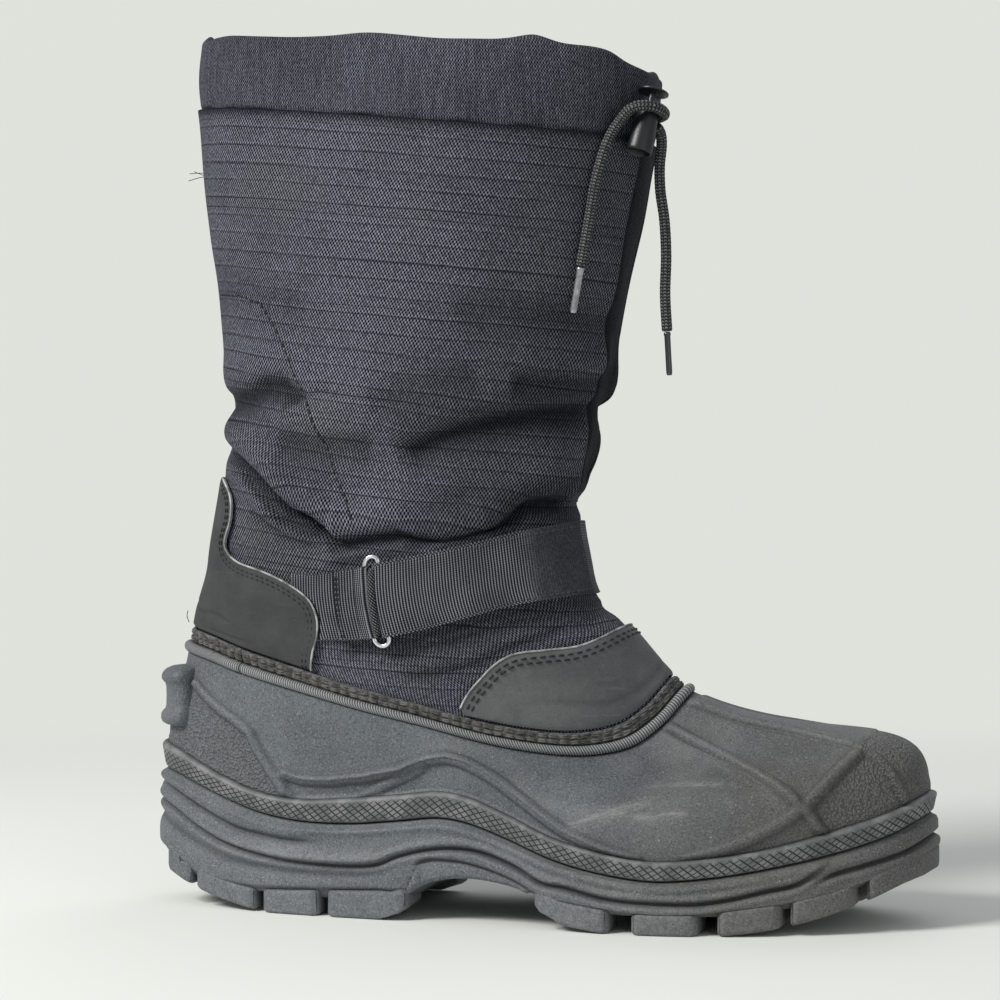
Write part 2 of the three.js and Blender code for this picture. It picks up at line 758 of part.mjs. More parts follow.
// a narrow wire loop: two bars joined by half turns above and below the webbing
function strapRingGeometry() {
  const barAt = (side, w) => onStrap(RING_TURN + side * BAR_SPREAD, w, BAR_RISE);
  const bend = (w, before, start) => {
    const middle = barAt(1, w).add(barAt(-1, w)).multiplyScalar(0.5);
    const half = barAt(start, w).sub(middle);
    const onward = onStrap(RING_TURN, w, BAR_RISE)
      .sub(onStrap(RING_TURN, before, BAR_RISE))
      .setLength(half.length());
    return [0.25, 0.5, 0.75].map((share) => middle.clone()
      .addScaledVector(half, Math.cos(share * Math.PI))
      .addScaledVector(onward, Math.sin(share * Math.PI)));
  };
  const centres = [
    ...[0.012, 0.34, 0.66, 0.985].map((w) => barAt(1, w)),
    ...bend(0.985, 0.9, 1),
    ...[0.985, 0.66, 0.34, 0.012].map((w) => barAt(-1, w)),
    ...bend(0.012, 0.1, -1),
  ];
  const out = shaftNormal(RING_TURN * Math.PI, strapLow(RING_TURN) + 0.8);
  const rings = centres.map((point, i) => {
    const next = centres[(i + 1) % centres.length];
    const before = centres[(i + centres.length - 1) % centres.length];
    const across = next.clone().sub(before).cross(out).normalize();
    return Array.from({ length: 8 }, (_, k) => {
      const turn = (2 * Math.PI * k) / 8;
      return point.clone()
        .addScaledVector(across, (Math.cos(turn) * WIRE) / 2)
        .addScaledVector(out, (Math.sin(turn) * WIRE) / 2);
    });
  });
  return loft(rings, true);
}

// ---------------------------------------------------------------- cord lock and drawcord
const LOCK = { x: 214, y: -21.6, z: 326, lean: 0.19, tip: -0.22, height: 20, radius: 5.4, top: 3.6 };
const PLUNGER_TRAVEL = 4;

// rounds a radius table about the lock's axis, z measured from the barrel's top
const turned = (profile, around = 16) => {
  const geometry = new THREE.LatheGeometry(profile.map(([r, z]) => new THREE.Vector2(r, z)), around);
  geometry.rotateX(Math.PI / 2);
  return geometry;
};

function barrelGeometry() {
  const { height, radius, top } = LOCK;
  return turned([
    [0, -height],
    [radius - 0.6, -height],
    [radius, -height + 0.8],
    [radius, -height + 6],
    [top + 0.6, -3],
    [top, 0],
    [1.9, 0],
    [1.9, -PLUNGER_TRAVEL - 4],
    [0, -PLUNGER_TRAVEL - 4],
  ]);
}

function plungerGeometry() {
  return turned([
    [0, -3.5],
    [1.5, -3.5],
    [1.5, PLUNGER_TRAVEL + 1],
    [5.6, PLUNGER_TRAVEL + 1.1],
    [6.3, PLUNGER_TRAVEL + 1.7],
    [5.6, PLUNGER_TRAVEL + 2.4],
    [0, PLUNGER_TRAVEL + 3.1],
  ]);
}

// routes of the free cord ends, from the lock down; x forward from the heel, y inwards, z up
const NEAR_ROUTE = [
  [209, -16.9, 321.1], [211.6, -16.2, 321.3], [214.3, -15.8, 321.5], [217.1, -16.9, 321.8],
  [219.2, -19.4, 322.2], [219.9, -22.3, 322.8], [219.5, -25.1, 323.5], [218.2, -27.4, 324.2],
  [216.3, -29.1, 324.7], [213.4, -30.3, 324.9], [210, -30.8, 324.4], [206.8, -30.5, 322.6],
  [203.9, -30.1, 319.3], [201.2, -31.2, 315.2], [198.8, -33.2, 309.2], [196.4, -34.2, 301],
  [194.3, -34, 293], [192.4, -33.2, 283], [190.3, -32.8, 272], [188.3, -32.4, 261.5],
];
const FAR_ROUTE = [
  [216, -18.4, 318], [217, -15.6, 315.2], [216.8, -13.2, 310.6], [215.8, -12.2, 303],
  [216, -12, 293.3], [217.7, -12, 281], [218.4, -12, 267], [218, -12, 251], [218.8, -12, 236.4],
];

function agletGeometry(route, diameter, length) {
  const [end, before] = [route.at(-1), route.at(-2)].map((p) => new THREE.Vector3(...p));
  const along = end.clone().sub(before).normalize();
  const start = end.clone().addScaledVector(along, GAP);
  const tip = start.clone().addScaledVector(along, length);
  return tube([start.toArray(), tip.toArray()], diameter, 1);
}

// ---------------------------------------------------------------- materials and assembly
const finish = (color, roughness, metalness = 0) =>
  new THREE.MeshStandardMaterial({ color, roughness, metalness });

const boot = new THREE.Group();
boot.position.set(-OUTLINE_CENTRE.x, -OUTLINE_CENTRE.y, 0);

function add(name, geometry, material, parent = boot) {
  const mesh = new THREE.Mesh(geometry, material);
  mesh.name = name;
  parent.add(mesh);
}

add("outsole", outsoleGeometry(), finish(0x3d3f40, 0.75));
add("insole", insoleGeometry(), finish(0x2b2c30, 0.95));
add("shell", shellGeometry(), finish(0x3a3c3f, 0.65));
add("edge_strip", edgeStripGeometry(), finish(0x434346, 0.7));
add("upper", upperGeometry(), finish(0x1f222b, 0.85));
add("collar_cuff", cuffGeometry(), finish(0x1c1e26, 0.85));
add("heel_overlay", heelOverlayGeometry(), finish(0x333538, 0.8));
add("vamp_overlay", vampOverlayGeometry(), finish(0x35363a, 0.8));
add("strap_anchor", strapAnchorGeometry(), finish(0x24262c, 0.85));
add("strap_ring", strapRingGeometry(), finish(0xc9cbd0, 0.25, 1));
add("strap", strapGeometry(), finish(0x26282e, 0.85));

const lock = new THREE.Group();
lock.position.set(LOCK.x, LOCK.y, LOCK.z);
lock.rotation.set(LOCK.tip, LOCK.lean, 0);
boot.add(lock);
add("cord_lock_barrel", barrelGeometry(), finish(0x1d1f23, 0.4), lock);
add("cord_lock_plunger", plungerGeometry(), finish(0x24262a, 0.4), lock);

add("drawcord_near", tube(NEAR_ROUTE, CORD, 26), finish(0x3a3a3c, 0.9));
add("drawcord_far", tube(FAR_ROUTE, CORD, 24), finish(0x3a3a3c, 0.9));
add("aglet_near", agletGeometry(NEAR_ROUTE, 2.8, 18.5), finish(0xd9dadc, 0.15));
add("aglet_far", agletGeometry(FAR_ROUTE, 2.5, 17.5), finish(0x2b2c2f, 0.35));

export default boot;
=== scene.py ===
import math

import bmesh
import bpy
import mathutils
import numpy as np
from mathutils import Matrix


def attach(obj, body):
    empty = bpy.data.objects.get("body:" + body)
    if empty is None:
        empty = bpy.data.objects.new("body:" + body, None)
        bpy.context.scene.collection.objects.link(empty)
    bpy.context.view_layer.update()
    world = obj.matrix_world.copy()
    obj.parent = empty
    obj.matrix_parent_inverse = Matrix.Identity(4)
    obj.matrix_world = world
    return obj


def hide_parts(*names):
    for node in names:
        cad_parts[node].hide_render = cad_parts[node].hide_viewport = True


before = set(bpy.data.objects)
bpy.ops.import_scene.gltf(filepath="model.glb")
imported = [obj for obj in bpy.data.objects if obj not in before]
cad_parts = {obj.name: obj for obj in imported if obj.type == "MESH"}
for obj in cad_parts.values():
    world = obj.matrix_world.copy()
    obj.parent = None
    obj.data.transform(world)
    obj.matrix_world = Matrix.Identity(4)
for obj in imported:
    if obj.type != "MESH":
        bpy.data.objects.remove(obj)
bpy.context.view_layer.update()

# The looks of the snow boot. Lengths are millimetres with x = 0 at the back of the heel, +X to the
# toe, +Y to the inner side of the foot and +Z up; to_frame() moves them into the part's own frame.
# An angle round the boot starts at the heel and passes the outer side first; a turn is the angle
# over pi, so 1 is the toe. A level is a height on the shaft, from 0 at the shell's rim.

ORIGIN = np.array([161.2, 0.15, 0.0])
LAST_LENGTH = 322.0
EDGE_OFFSET = 3.4
SHELL_WALL = 3.0
SHAFT_WALL = 4.2
SEAM_LEVEL = 9.0
SOLE_SWING = 6
SHAFT_SWING = 4
# the rim's height at the back and the front, and its widest half
RIM_BACK, RIM_FRONT, RIM_HALF = 104.5, 88, 39.5
TAU = 2 * math.pi
random = np.random.default_rng(7)


def to_frame(points):
    return (np.asarray(points, float) - ORIGIN) / 1000.0


# ---------------------------------------------------------------- curves and sections
def hermite(a, leave, b, arrive, u):
    """The cubic from a to b with the given slopes at its ends, at the share u of the way."""
    return ((2 * u**3 - 3 * u**2 + 1) * a + (u**3 - 2 * u**2 + u) * leave
            + (3 * u**2 - 2 * u**3) * b + (u**3 - u**2) * arrive)


def smooth_curve(at, to):
    chord = np.diff(to) / np.diff(at)
    slope = np.concatenate([chord[:1], (to[2:] - to[:-2]) / (at[2:] - at[:-2]), chord[-1:]])

    def curve(place):
        x = np.clip(np.asarray(place, float), at[0], at[-1])
        i = np.clip(np.searchsorted(at, x, side="right") - 1, 0, len(at) - 2)
        span = at[i + 1] - at[i]
        return hermite(to[i], span * slope[i], to[i + 1], span * slope[i + 1], (x - at[i]) / span)

    return curve


def curves(rows):
    """Smooth curves through a table's rows, from its first column to each of the others."""
    at, *columns = np.array(rows, float).T
    return [smooth_curve(at, to) for to in columns]


# along the sole (0 heel, 1 toe), half widths
outer_half, inner_half = curves([
    (0, 42, 42), (0.18, 42.5, 42.5), (0.42, 44, 40), (0.7, 59, 53), (1, 54, 52),
])
# along the sole, the line where the shell meets it and the knurled band's upper edge
parting_z, band_z = curves([
    (0, 56, 67), (0.04, 53, 63.5), (0.1, 46.5, 55.5), (0.16, 40.5, 49), (0.22, 37.6, 46.6),
    (0.29, 37.4, 47.9), (0.36, 39.5, 50.2), (0.41, 41.2, 52), (0.45, 39.6, 50.3), (0.5, 34.5, 44.5),
    (0.56, 27.3, 36.3), (0.62, 22.8, 31.2), (0.69, 20.3, 28.2), (0.76, 22, 30), (0.83, 25.8, 33.8),
    (0.9, 31, 40), (0.96, 37.2, 46.3), (1, 44, 52.5),
])
# along the sole, the tread, the body of the sole and the tray inside
tread_z, base_z, deck_z = curves([
    (0, 16, 22, 31), (0.07, 7.5, 14, 28.5), (0.13, 2.6, 9, 27.5), (0.18, 0, 7, 27), (0.27, 0, 6.5, 27),
    (0.35, 0, 6.5, 27), (0.4, 14, 15, 26.5), (0.45, 17.5, 17.5, 25.5), (0.5, 15.5, 16, 22.5),
    (0.535, 10.5, 13, 20), (0.56, 4.2, 10.5, 18), (0.6, 1.2, 8, 15.5), (0.64, 0, 6.5, 13.5),
    (0.7, 0, 6.5, 12.8), (0.76, 0, 6.5, 13), (0.84, 3, 9, 16), (0.92, 10.4, 16, 22.5), (1, 22, 27, 33),
])
# along the rim of the shell, its height and half width
rim_z, rim_half = curves([
    (0, 104.5, 32), (0.08, 101.7, 34), (0.15, 97.7, 36), (0.3, 90, 38.5), (0.41, 84, 39.5),
    (0.53, 78, 39.5), (0.67, 70.2, 38), (0.78, 66.4, 35.5), (0.85, 66.3, 33), (0.91, 69.5, 30),
    (0.96, 77.5, 28), (1, 88, 26),
])
# levels up the shaft: its back, front and half width, the heights of back and front, the dip
# between them, how blunt its section is, and how far it follows the rim
shaft_curves = dict(zip("back front half z_back z_front dip blunt rim".split(), curves([
    (0, 12, 224, 39.5, 104.5, 88, 0, 2.1, 1), (1, 13.2, 210.5, 40.5, 114, 102.5, -6, 2.1, 0.5),
    (2, 15, 200, 41.5, 123, 115, -12, 2.15, 0.1), (3, 19.5, 186, 42.5, 137, 129, -8, 2.2, 0),
    (4, 22, 181.5, 43.5, 150, 144, -3, 2.2, 0), (5, 27, 178.5, 44.5, 178, 166, 0, 2.2, 0),
    (6, 29.5, 184, 46.5, 200, 190, 0, 2.2, 0), (7, 28.2, 190.5, 48.5, 228, 222, 0, 2.2, 0),
    (8, 22.2, 200.5, 51.5, 278, 270, 0, 2.25, 0), (9, 15.5, 210.5, 54, 332, 313, -1.5, 2.3, 0),
])))
cuff_top, = curves([
    (0, 362), (0.2, 357.5), (0.45, 353.5), (0.7, 351.5), (0.85, 350.5), (0.93, 348), (1, 341),
])
# the heel overlay's front edge: how far forward it is at a level
heel_edge, = curves([
    (0, 0.32), (0.9, 0.325), (1.9, 0.343), (2.4, 0.362), (2.75, 0.365), (3.1, 0.345), (3.4, 0.29),
    (3.6, 0.225), (3.75, 0.14), (4.05, 0.09), (4.45, 0.098), (4.75, 0.085), (5, 0.04),
])
# the vamp overlay's top edge: its level, from the sides to the toe
vamp_edge, = curves([
    (0.62, 0.55), (0.65, 0.95), (0.69, 1.4), (0.74, 1.83), (0.79, 2.03), (0.85, 2.03), (0.92, 1.98),
    (1, 2.08),
])
# the strap's lower and upper edge, by turn
strap_low, strap_high = curves([
    (0.41, 2.2, 3.72), (0.51, 2.4, 3.98), (0.7, 2.9, 4.4), (0.8, 3.02, 4.6), (1, 3.02, 4.78),
    (1.2, 3.02, 4.6), (1.3, 2.9, 4.4), (1.49, 2.4, 3.98), (1.59, 2.2, 3.72),
])


def smooth(value):
    v = np.clip(value, 0, 1)
    return v * v * (3 - 2 * v)


def step(value, low, high):
    return smooth((np.asarray(value, float) - low) / (high - low))


def between(value, low, high, soft):
    """1 between two places, with a soft step before the first and after the second."""
    return step(value, low - soft, low) * (1 - step(value, high, high + soft))


def bell(distance, width):
    return np.exp(-(distance / width) ** 2)


def lerp(a, b, share):
    return a + (b - a) * share


def stacked(*coordinates):
    return np.stack(np.broadcast_arrays(*coordinates), -1)


def along_of(angle):
    return (1 - np.cos(angle)) / 2


def side_of(angle):
    return np.where(np.sin(angle) >= -1e-9, -1.0, 1.0)


def angle_of(t):
    return np.arccos(np.clip(1 - 2 * np.asarray(t, float), -1, 1))


def angles(count):
    return TAU * np.arange(count) / count


def ellipse(t, blunt):
    return np.maximum(0, 1 - np.abs(2 * t - 1) ** blunt) ** (1 / blunt)


def swing(t, amount):
    """How far the middle line swings to the inner side towards the toe."""
    return amount * smooth((t - 0.35) / 0.65)


def sole_point(angle, grow, z):
    """A point of the sole's outline, grown or shrunk, at the height z."""
    t = along_of(angle)
    side = side_of(angle)
    half = np.where(side < 0, outer_half(t), inner_half(t)) + grow
    x = -grow + (LAST_LENGTH + 2 * grow) * t
    y = side * half * ellipse(t, np.where(t < 0.5, 2.3, 2.35)) + swing(t, SOLE_SWING)
    return stacked(x, y, z)


def sole_share(angle):
    """How far along the sole an angle is, from the heel to the toe."""
    return np.clip(sole_point(angle, 0, 0)[..., 0] / LAST_LENGTH, 0, 1)


def shaft_point(angle, level):
    angle, level = np.broadcast_arrays(np.asarray(angle, float), np.asarray(level, float))
    t = along_of(angle)
    at = {name: curve(level) for name, curve in shaft_curves.items()}
    z = lerp(at["z_back"], at["z_front"], t) + 4 * at["dip"] * t * (1 - t)
    z = z + at["rim"] * (rim_z(t) - lerp(RIM_BACK, RIM_FRONT, t))
    half = at["half"] * (1 + at["rim"] * (rim_half(t) / RIM_HALF - 1))
    y = side_of(angle) * half * ellipse(t, at["blunt"]) + swing(t, SHAFT_SWING) * at["rim"]
    return np.stack([lerp(at["back"], at["front"], t), y, z], -1)


def unit(v):
    return v / np.maximum(np.linalg.norm(v, axis=-1, keepdims=True), 1e-9)


def shaft_normal(angle, level):
    near = 0.02
    low = np.maximum(level - near, 0)
    around = shaft_point(angle + near, level) - shaft_point(angle - near, level)
    up = shaft_point(angle, low + 2 * near) - shaft_point(angle, low)
    return unit(np.cross(around, up))


def on_shaft(angle, level, offset):
    return shaft_point(angle, level) + shaft_normal(angle, level) * np.asarray(offset)[..., None]


LEVELS = np.linspace(0, 3, 301)  # fine steps that cover the strip and the overlays' lower edges


def level_above(angle, distance):
    """The level that lies a given distance up the shaft's surface from its rim."""
    angle = np.atleast_1d(angle)
    points = shaft_point(angle[:, None], LEVELS[None, :])
    walked = np.linalg.norm(np.diff(points, axis=1), axis=-1).cumsum(1)
    walked = np.concatenate([np.zeros((len(angle), 1)), walked], 1)
    distance = np.broadcast_to(distance, angle.shape)
    return np.array([np.interp(d, w, LEVELS) for d, w in zip(distance, walked)])


def rim_angle(angle):
    """The shell's meridians drift back from the sole to the rim."""
    t = along_of(angle)
    return -side_of(angle) * angle_of(1.5 * t - 0.5 * t * t)


def shell_point(angle, up):
    """A point of the shell's outer surface, from the knurled band (0) to the top edge (1)."""
    angle, up = np.broadcast_arrays(np.asarray(angle, float), np.asarray(up, float))
    foot = sole_point(angle, 0, 0)
    foot[..., 2] = band_z(foot[..., 0] / LAST_LENGTH)
    top = on_shaft(rim_angle(angle), np.zeros_like(angle), EDGE_OFFSET)
    x, y, z = np.moveaxis(foot - top, -1, 0)
    rise = np.abs(z)
    toe = smooth((along_of(angle) - 0.5) / 0.5)
    leave = foot + np.stack([0.02 * x, 0.02 * y, rise * (0.55 + 0.47 * toe)], -1)
    arrive = top + np.stack([
        x * (0.3 + 0.25 * toe), y * (0.5 + 0.1 * toe),
        -0.45 * (1 - toe) * rise - 0.24 * toe * np.abs(x),
    ], -1)
    u = up[..., None]
    v = 1 - u
    return v**3 * foot + 3 * v * v * u * leave + 3 * v * u * u * arrive + u**3 * top


def grid_normals(points):
    """Outward normals of a surface whose rows go up and whose columns go round it."""
    turn = np.roll(points, -1, 1) - np.roll(points, 1, 1)
    return unit(np.cross(turn, np.gradient(points, axis=0)))


def spaced(places, count):
    """The columns of some given rows, filled in with straight steps."""
    fine = np.linspace(0, len(places) - 1, count)
    return [np.interp(fine, np.arange(len(places)), column) for column in np.array(places, float).T]


def sample(grid, row, column, around=False):
    """A grid's values between its rows and columns; `around` joins its last column to the first."""
    rows, columns = grid.shape[:2]
    r0, c0 = np.floor(row).astype(int), np.floor(column).astype(int)
    r1 = np.minimum(r0 + 1, rows - 1)
    c1 = (c0 + 1) % columns if around else np.minimum(c0 + 1, columns - 1)
    across = (column - c0)[..., None]
    low, high = lerp(grid[r0, c0], grid[r0, c1], across), lerp(grid[r1, c0], grid[r1, c1], across)
    return lerp(low, high, (row - r0)[..., None])


def walked_along(points):
    """The distance walked along a line of points, at each of them."""
    return np.concatenate([[0], np.linalg.norm(np.diff(points, axis=0), axis=1).cumsum()])


def picked(values, walked, place):
    """A line's rows of values at some distances along it."""
    return np.stack([np.interp(place, walked, column) for column in values.T], -1)


def evenly(points, count):
    walked = walked_along(points)
    return picked(points, walked, np.linspace(0, walked[-1], count))


def catmull(points, count):
    """Evenly spaced points along a centripetal Catmull-Rom curve."""
    p = np.asarray(points, float)
    p = np.concatenate([[2 * p[0] - p[1]], p, [2 * p[-1] - p[-2]]])
    share = np.linspace(0, 1, 24, endpoint=False)[:, None]
    fine = []
    for a, b, c, d in zip(p, p[1:], p[2:], p[3:]):
        one, two, three = (math.sqrt(np.linalg.norm(leg)) for leg in (b - a, c - b, d - c))
        leave = ((b - a) / one - (c - a) / (one + two) + (c - b) / two) * two
        arrive = ((c - b) / two - (d - b) / (two + three) + (d - c) / three) * two
        fine.append(hermite(b, leave, c, arrive, share))
    return evenly(np.concatenate([*fine, p[-2:-1]]), count)


def arc_places(points, from_top=False):
    """Distances round and up a closed surface, for patterns that keep their size on it."""
    closed = np.concatenate([points, points[:, :1]], 1)
    across = np.linalg.norm(np.diff(closed, axis=1), axis=-1).cumsum(1)
    across = np.pad(across, ((0, 0), (1, 0)))
    whole = across[:, -1:]
    across = across - whole / 2 + whole[len(whole) // 2] / 2
    up = np.pad(np.linalg.norm(np.diff(closed, axis=0), axis=-1).cumsum(0), ((1, 0), (0, 0)))
    if from_top:
        up = up - up[-1:]
    return np.stack([across, up], -1)


# ---------------------------------------------------------------- meshes
class Build:
    """Points with values, and faces with pattern places, that become one mesh."""

    def __init__(self):
        self.points, self.values, self.faces, self.places, self.slots = [], [], [], [], []
        self.count = 0

    def add_points(self, points, values=None):
        """Adds points, and returns the index of the first."""
        points = np.asarray(points, float).reshape(-1, 3)
        self.points.append(points)
        self.values.append({key: np.ravel(value) for key, value in (values or {}).items()})
        self.count += len(points)
        return self.count - len(points)

    def add_faces(self, faces, places=None, slot=0):
        """Adds rows of point indices, all alike in length, with a place for each corner."""
        self.faces.append(faces)
        self.places.append(np.zeros((*faces.shape, 2)) if places is None else places)
        self.slots.append(np.full(len(faces), slot))

    def grid(self, points, places=None, around=True, over=False, slot=0, values=None, flip=False,
             ends=()):
        """A surface of rows by columns. `around` joins its last column to the first, `over` its
        last row to the first, and `ends` closes its first (0) or last (-1) ring across."""
        rows, columns = points.shape[:2]
        first = self.add_points(points, values)
        r, c = np.meshgrid(np.arange(rows if over else rows - 1),
                           np.arange(columns if around else columns - 1), indexing="ij")
        corners = [(r, c), (r, c + 1), (r + 1, c + 1), (r + 1, c)]
        if flip:
            corners.reverse()
        faces = np.stack([(i % rows) * columns + j % columns for i, j in corners], -1)
        if places is not None:
            turns_on = places.shape[1] > columns
            places = np.stack([places[i % rows, j if turns_on else j % columns] for i, j in corners], -2)
            places = places.reshape(-1, 4, 2)
        self.add_faces(faces.reshape(-1, 4) + first, places, slot)
        for end in ends:
            base = 0 if end == 0 else (rows - 1) * columns
            i = np.arange(columns // 2)
            ladder = np.stack([i, i + 1, columns - 1 - i, (columns - i) % columns], -1) + base
            if (end == 0) != flip:
                ladder = ladder[:, ::-1]
            self.add_faces(ladder + first, slot=slot)

    def mesh(self, name, sharp=None):
        mesh = bpy.data.meshes.new(name)
        points = to_frame(np.concatenate(self.points))
        sizes = np.concatenate([np.full(len(f), f.shape[1]) for f in self.faces])
        loops = np.concatenate([f.ravel() for f in self.faces])
        mesh.vertices.add(len(points))
        mesh.vertices.foreach_set("co", points.ravel())
        mesh.loops.add(len(loops))
        mesh.loops.foreach_set("vertex_index", loops)
        mesh.polygons.add(len(sizes))
        mesh.polygons.foreach_set("loop_start", np.concatenate([[0], sizes.cumsum()[:-1]]))
        mesh.polygons.foreach_set("loop_total", sizes)
        mesh.polygons.foreach_set("material_index", np.concatenate(self.slots))
        mesh.update(calc_edges=True)
        layer = mesh.uv_layers.new(name="cloth")
        layer.data.foreach_set("uv", np.concatenate([p.ravel() for p in self.places]))
        for key in sorted(set().union(*self.values)):
            column = [given.get(key, np.zeros(len(part))) for given, part in zip(self.values, self.points)]
            mesh.attributes.new(key, "FLOAT", "POINT").data.foreach_set("value", np.concatenate(column))
        mesh.validate()
        mesh.shade_smooth()
        if sharp is not None:
            mesh.set_sharp_from_angle(angle=math.radians(sharp))
        return mesh


def make_piece(name, build, material, node=None, body="boot", sharp=None):
    """Makes a piece that rides a body, and that stands for a node of the part if one is named."""
    mesh = build.mesh(name, sharp)
    piece = bpy.data.objects.new(name, mesh)
    bpy.context.collection.objects.link(piece)
    for entry in material if isinstance(material, list) else [material]:
        mesh.materials.append(entry)
    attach(piece, body)
    if node:
        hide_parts(node)
    return piece


def tube_points(route, radius, around=16, closed=False, first=(0, 0, 1)):
    """Rings of points round a route; radius is a number, or an array of steps by columns."""
    route = np.asarray(route, float)
    if closed:
        tangent = unit(np.roll(route, -1, 0) - np.roll(route, 1, 0))
    else:
        tangent = unit(np.gradient(route, axis=0))
    normal = np.asarray(first, float)
    sides = []
    for t in tangent:
        normal = unit(normal - t * (normal @ t))
        sides.append(normal)
    sides = np.array(sides)[:, None]
    other = np.cross(tangent, sides[:, 0])[:, None]
    turn = angles(around)[None, :, None]
    radius = np.broadcast_to(radius, (len(route), around))[..., None]
    return route[:, None] + (sides * np.cos(turn) + other * np.sin(turn)) * radius


STITCH_SPANS = np.array([-0.5, -0.4, -0.15, 0.15, 0.4, 0.5])
STITCH_GIRTHS = np.array([0.3, 0.85, 1, 1, 0.85, 0.3])
STITCH_RISES = np.array([-0.6, -0.1, 0.1, 0.1, -0.1, -0.6])


def add_stitches(build, route, normals, size, lift=0.0, wobble=0.0):
    """Thread stitches along a route on a surface; size is their length, gap, width and height."""
    length, gap, wide, high = size
    walked = walked_along(route)
    middle = np.arange(gap / 2, walked[-1] - length, length + gap) + length / 2
    centre = picked(route, walked, middle)
    along = unit(picked(route, walked, middle + length / 2) - picked(route, walked, middle - length / 2))
    normal = unit(picked(normals, walked, middle))
    across = unit(np.cross(normal, along))
    if wobble:
        turn = random.normal(0, wobble, len(middle))[:, None]
        along, across = unit(along + across * turn), unit(across - along * turn)
    rings, around = len(STITCH_SPANS), 7
    turn = angles(around)
    girth = STITCH_GIRTHS[:, None] / 2
    spread = girth * np.cos(turn) * wide
    rise = lift + STITCH_RISES[:, None] * high + girth * np.sin(turn) * high
    centre, along, across, normal = (v[:, None, None] for v in (centre, along, across, normal))
    points = (centre + along * (STITCH_SPANS * length)[:, None, None]
              + across * spread[..., None] + normal * rise[..., None])
    first = build.add_points(points) + np.arange(len(middle))[:, None, None] * rings * around
    r, c = np.meshgrid(np.arange(rings - 1), np.arange(around), indexing="ij")
    corners = [(r, c), (r, c + 1), (r + 1, c + 1), (r + 1, c)]
    sides = np.stack([i * around + j % around for i, j in corners], -1).reshape(-1, 4)
    ring = np.arange(around)[None]
    for faces in (sides, ring[:, ::-1], ring + (rings - 1) * around):
        build.add_faces((faces + first).reshape(-1, faces.shape[1]))


# ---------------------------------------------------------------- materials
class Wire:
    """A socket in a material; + - and * join it to wires or numbers through a Math node."""

    def __init__(self, paint, socket):
        self.paint, self.socket = paint, socket

    def __add__(self, other):
        return self.paint.math("ADD", self, other)

    def __sub__(self, other):
        return self.paint.math("SUBTRACT", self, other)

    def __rsub__(self, other):
        return self.paint.math("SUBTRACT", other, self)

    def __mul__(self, other):
        return self.paint.math("MULTIPLY", self, other)


class Paint:
    """A material whose nodes are laid by short calls; each returns a wire."""

    def __init__(self, name):
        self.material = bpy.data.materials.new(name)
        self.material.use_nodes = True
        self.tree = self.material.node_tree
        self.tree.nodes.clear()

    def join(self, entry, value):
        """Links an input to a wire, or sets it to a plain value."""
        if isinstance(value, Wire):
            self.tree.links.new(value.socket, entry)
        else:
            entry.default_value = value

    def node(self, kind, inputs=None, output=0, **settings):
        made = self.tree.nodes.new(kind)
        for key, value in settings.items():
            setattr(made, key, value)
        for key, value in (inputs or {}).items():
            self.join(made.inputs[key], value)
        return Wire(self, made.outputs[output])

    def math(self, operation, a, b=0.0):
        return self.node("ShaderNodeMath", {0: a, 1: b}, operation=operation)

    def split(self, vector):
        made = self.tree.nodes.new("ShaderNodeSeparateXYZ")
        self.join(made.inputs[0], vector)
        return [Wire(self, socket) for socket in made.outputs]

    def places(self):
        return self.split(self.node("ShaderNodeUVMap", uv_map="cloth"))[:2]

    def where(self):
        return self.node("ShaderNodeTexCoord", output="Object")

    def axis(self, index):
        return self.split(self.where())[index]

    def facing_up(self):
        return self.split(self.node("ShaderNodeNewGeometry", output="Normal"))[2]

    def value(self, name):
        return self.node("ShaderNodeAttribute", output="Fac", attribute_name=name)

    def stretched(self, scale, lean=0.0):
        leant = self.node("ShaderNodeVectorRotate", {"Vector": self.where(), "Angle": lean},
                          rotation_type="Y_AXIS")
        return self.node("ShaderNodeMapping", {"Vector": leant, "Scale": scale})

    def noise(self, scale, detail=3.0, rough=0.5, vector=None):
        return self.node("ShaderNodeTexNoise", {
            "Vector": vector or self.where(), "Scale": scale, "Detail": detail, "Roughness": rough})

    def cells(self, scale):
        return self.node("ShaderNodeTexVoronoi", {"Vector": self.where(), "Scale": scale},
                         output="Distance")

    def ramp(self, value, low, high, start=0.0, end=1.0):
        return self.node("ShaderNodeMapRange", {
            "Value": value, "From Min": low, "From Max": high, "To Min": start, "To Max": end,
        }, interpolation_type="SMOOTHSTEP")

    def blend(self, share, a, b, kind="MIX"):
        return self.node("ShaderNodeMix", {0: share, 6: a, 7: b}, 2, data_type="RGBA", blend_type=kind)

    def bump(self, height, distance, strength=1.0, normal=None):
        inputs = {"Height": height, "Distance": distance / 1000, "Strength": strength}
        if normal is not None:
            inputs["Normal"] = normal
        return self.node("ShaderNodeBump", inputs)

    def wave(self, place, pitch, shift=0.0):
        """A cosine of a place in millimetres."""
        return self.math("COSINE", place * (TAU / pitch) + shift)

    def ridge(self, place):
        """A row of humps, one to every pi."""
        return self.math("ABSOLUTE", self.math("SINE", place))

    def finish(self, shader):
        self.join(self.tree.nodes.new("ShaderNodeOutputMaterial").inputs[0], shader)
        return self.material

    def done(self, **inputs):
        inputs = {key.replace("_", " "): value for key, value in inputs.items()}
        return self.finish(self.node("ShaderNodeBsdfPrincipled", inputs))


def grey(value, warm=0.0):
    return (value * (1 + warm), value, value * (1 - warm), 1.0)


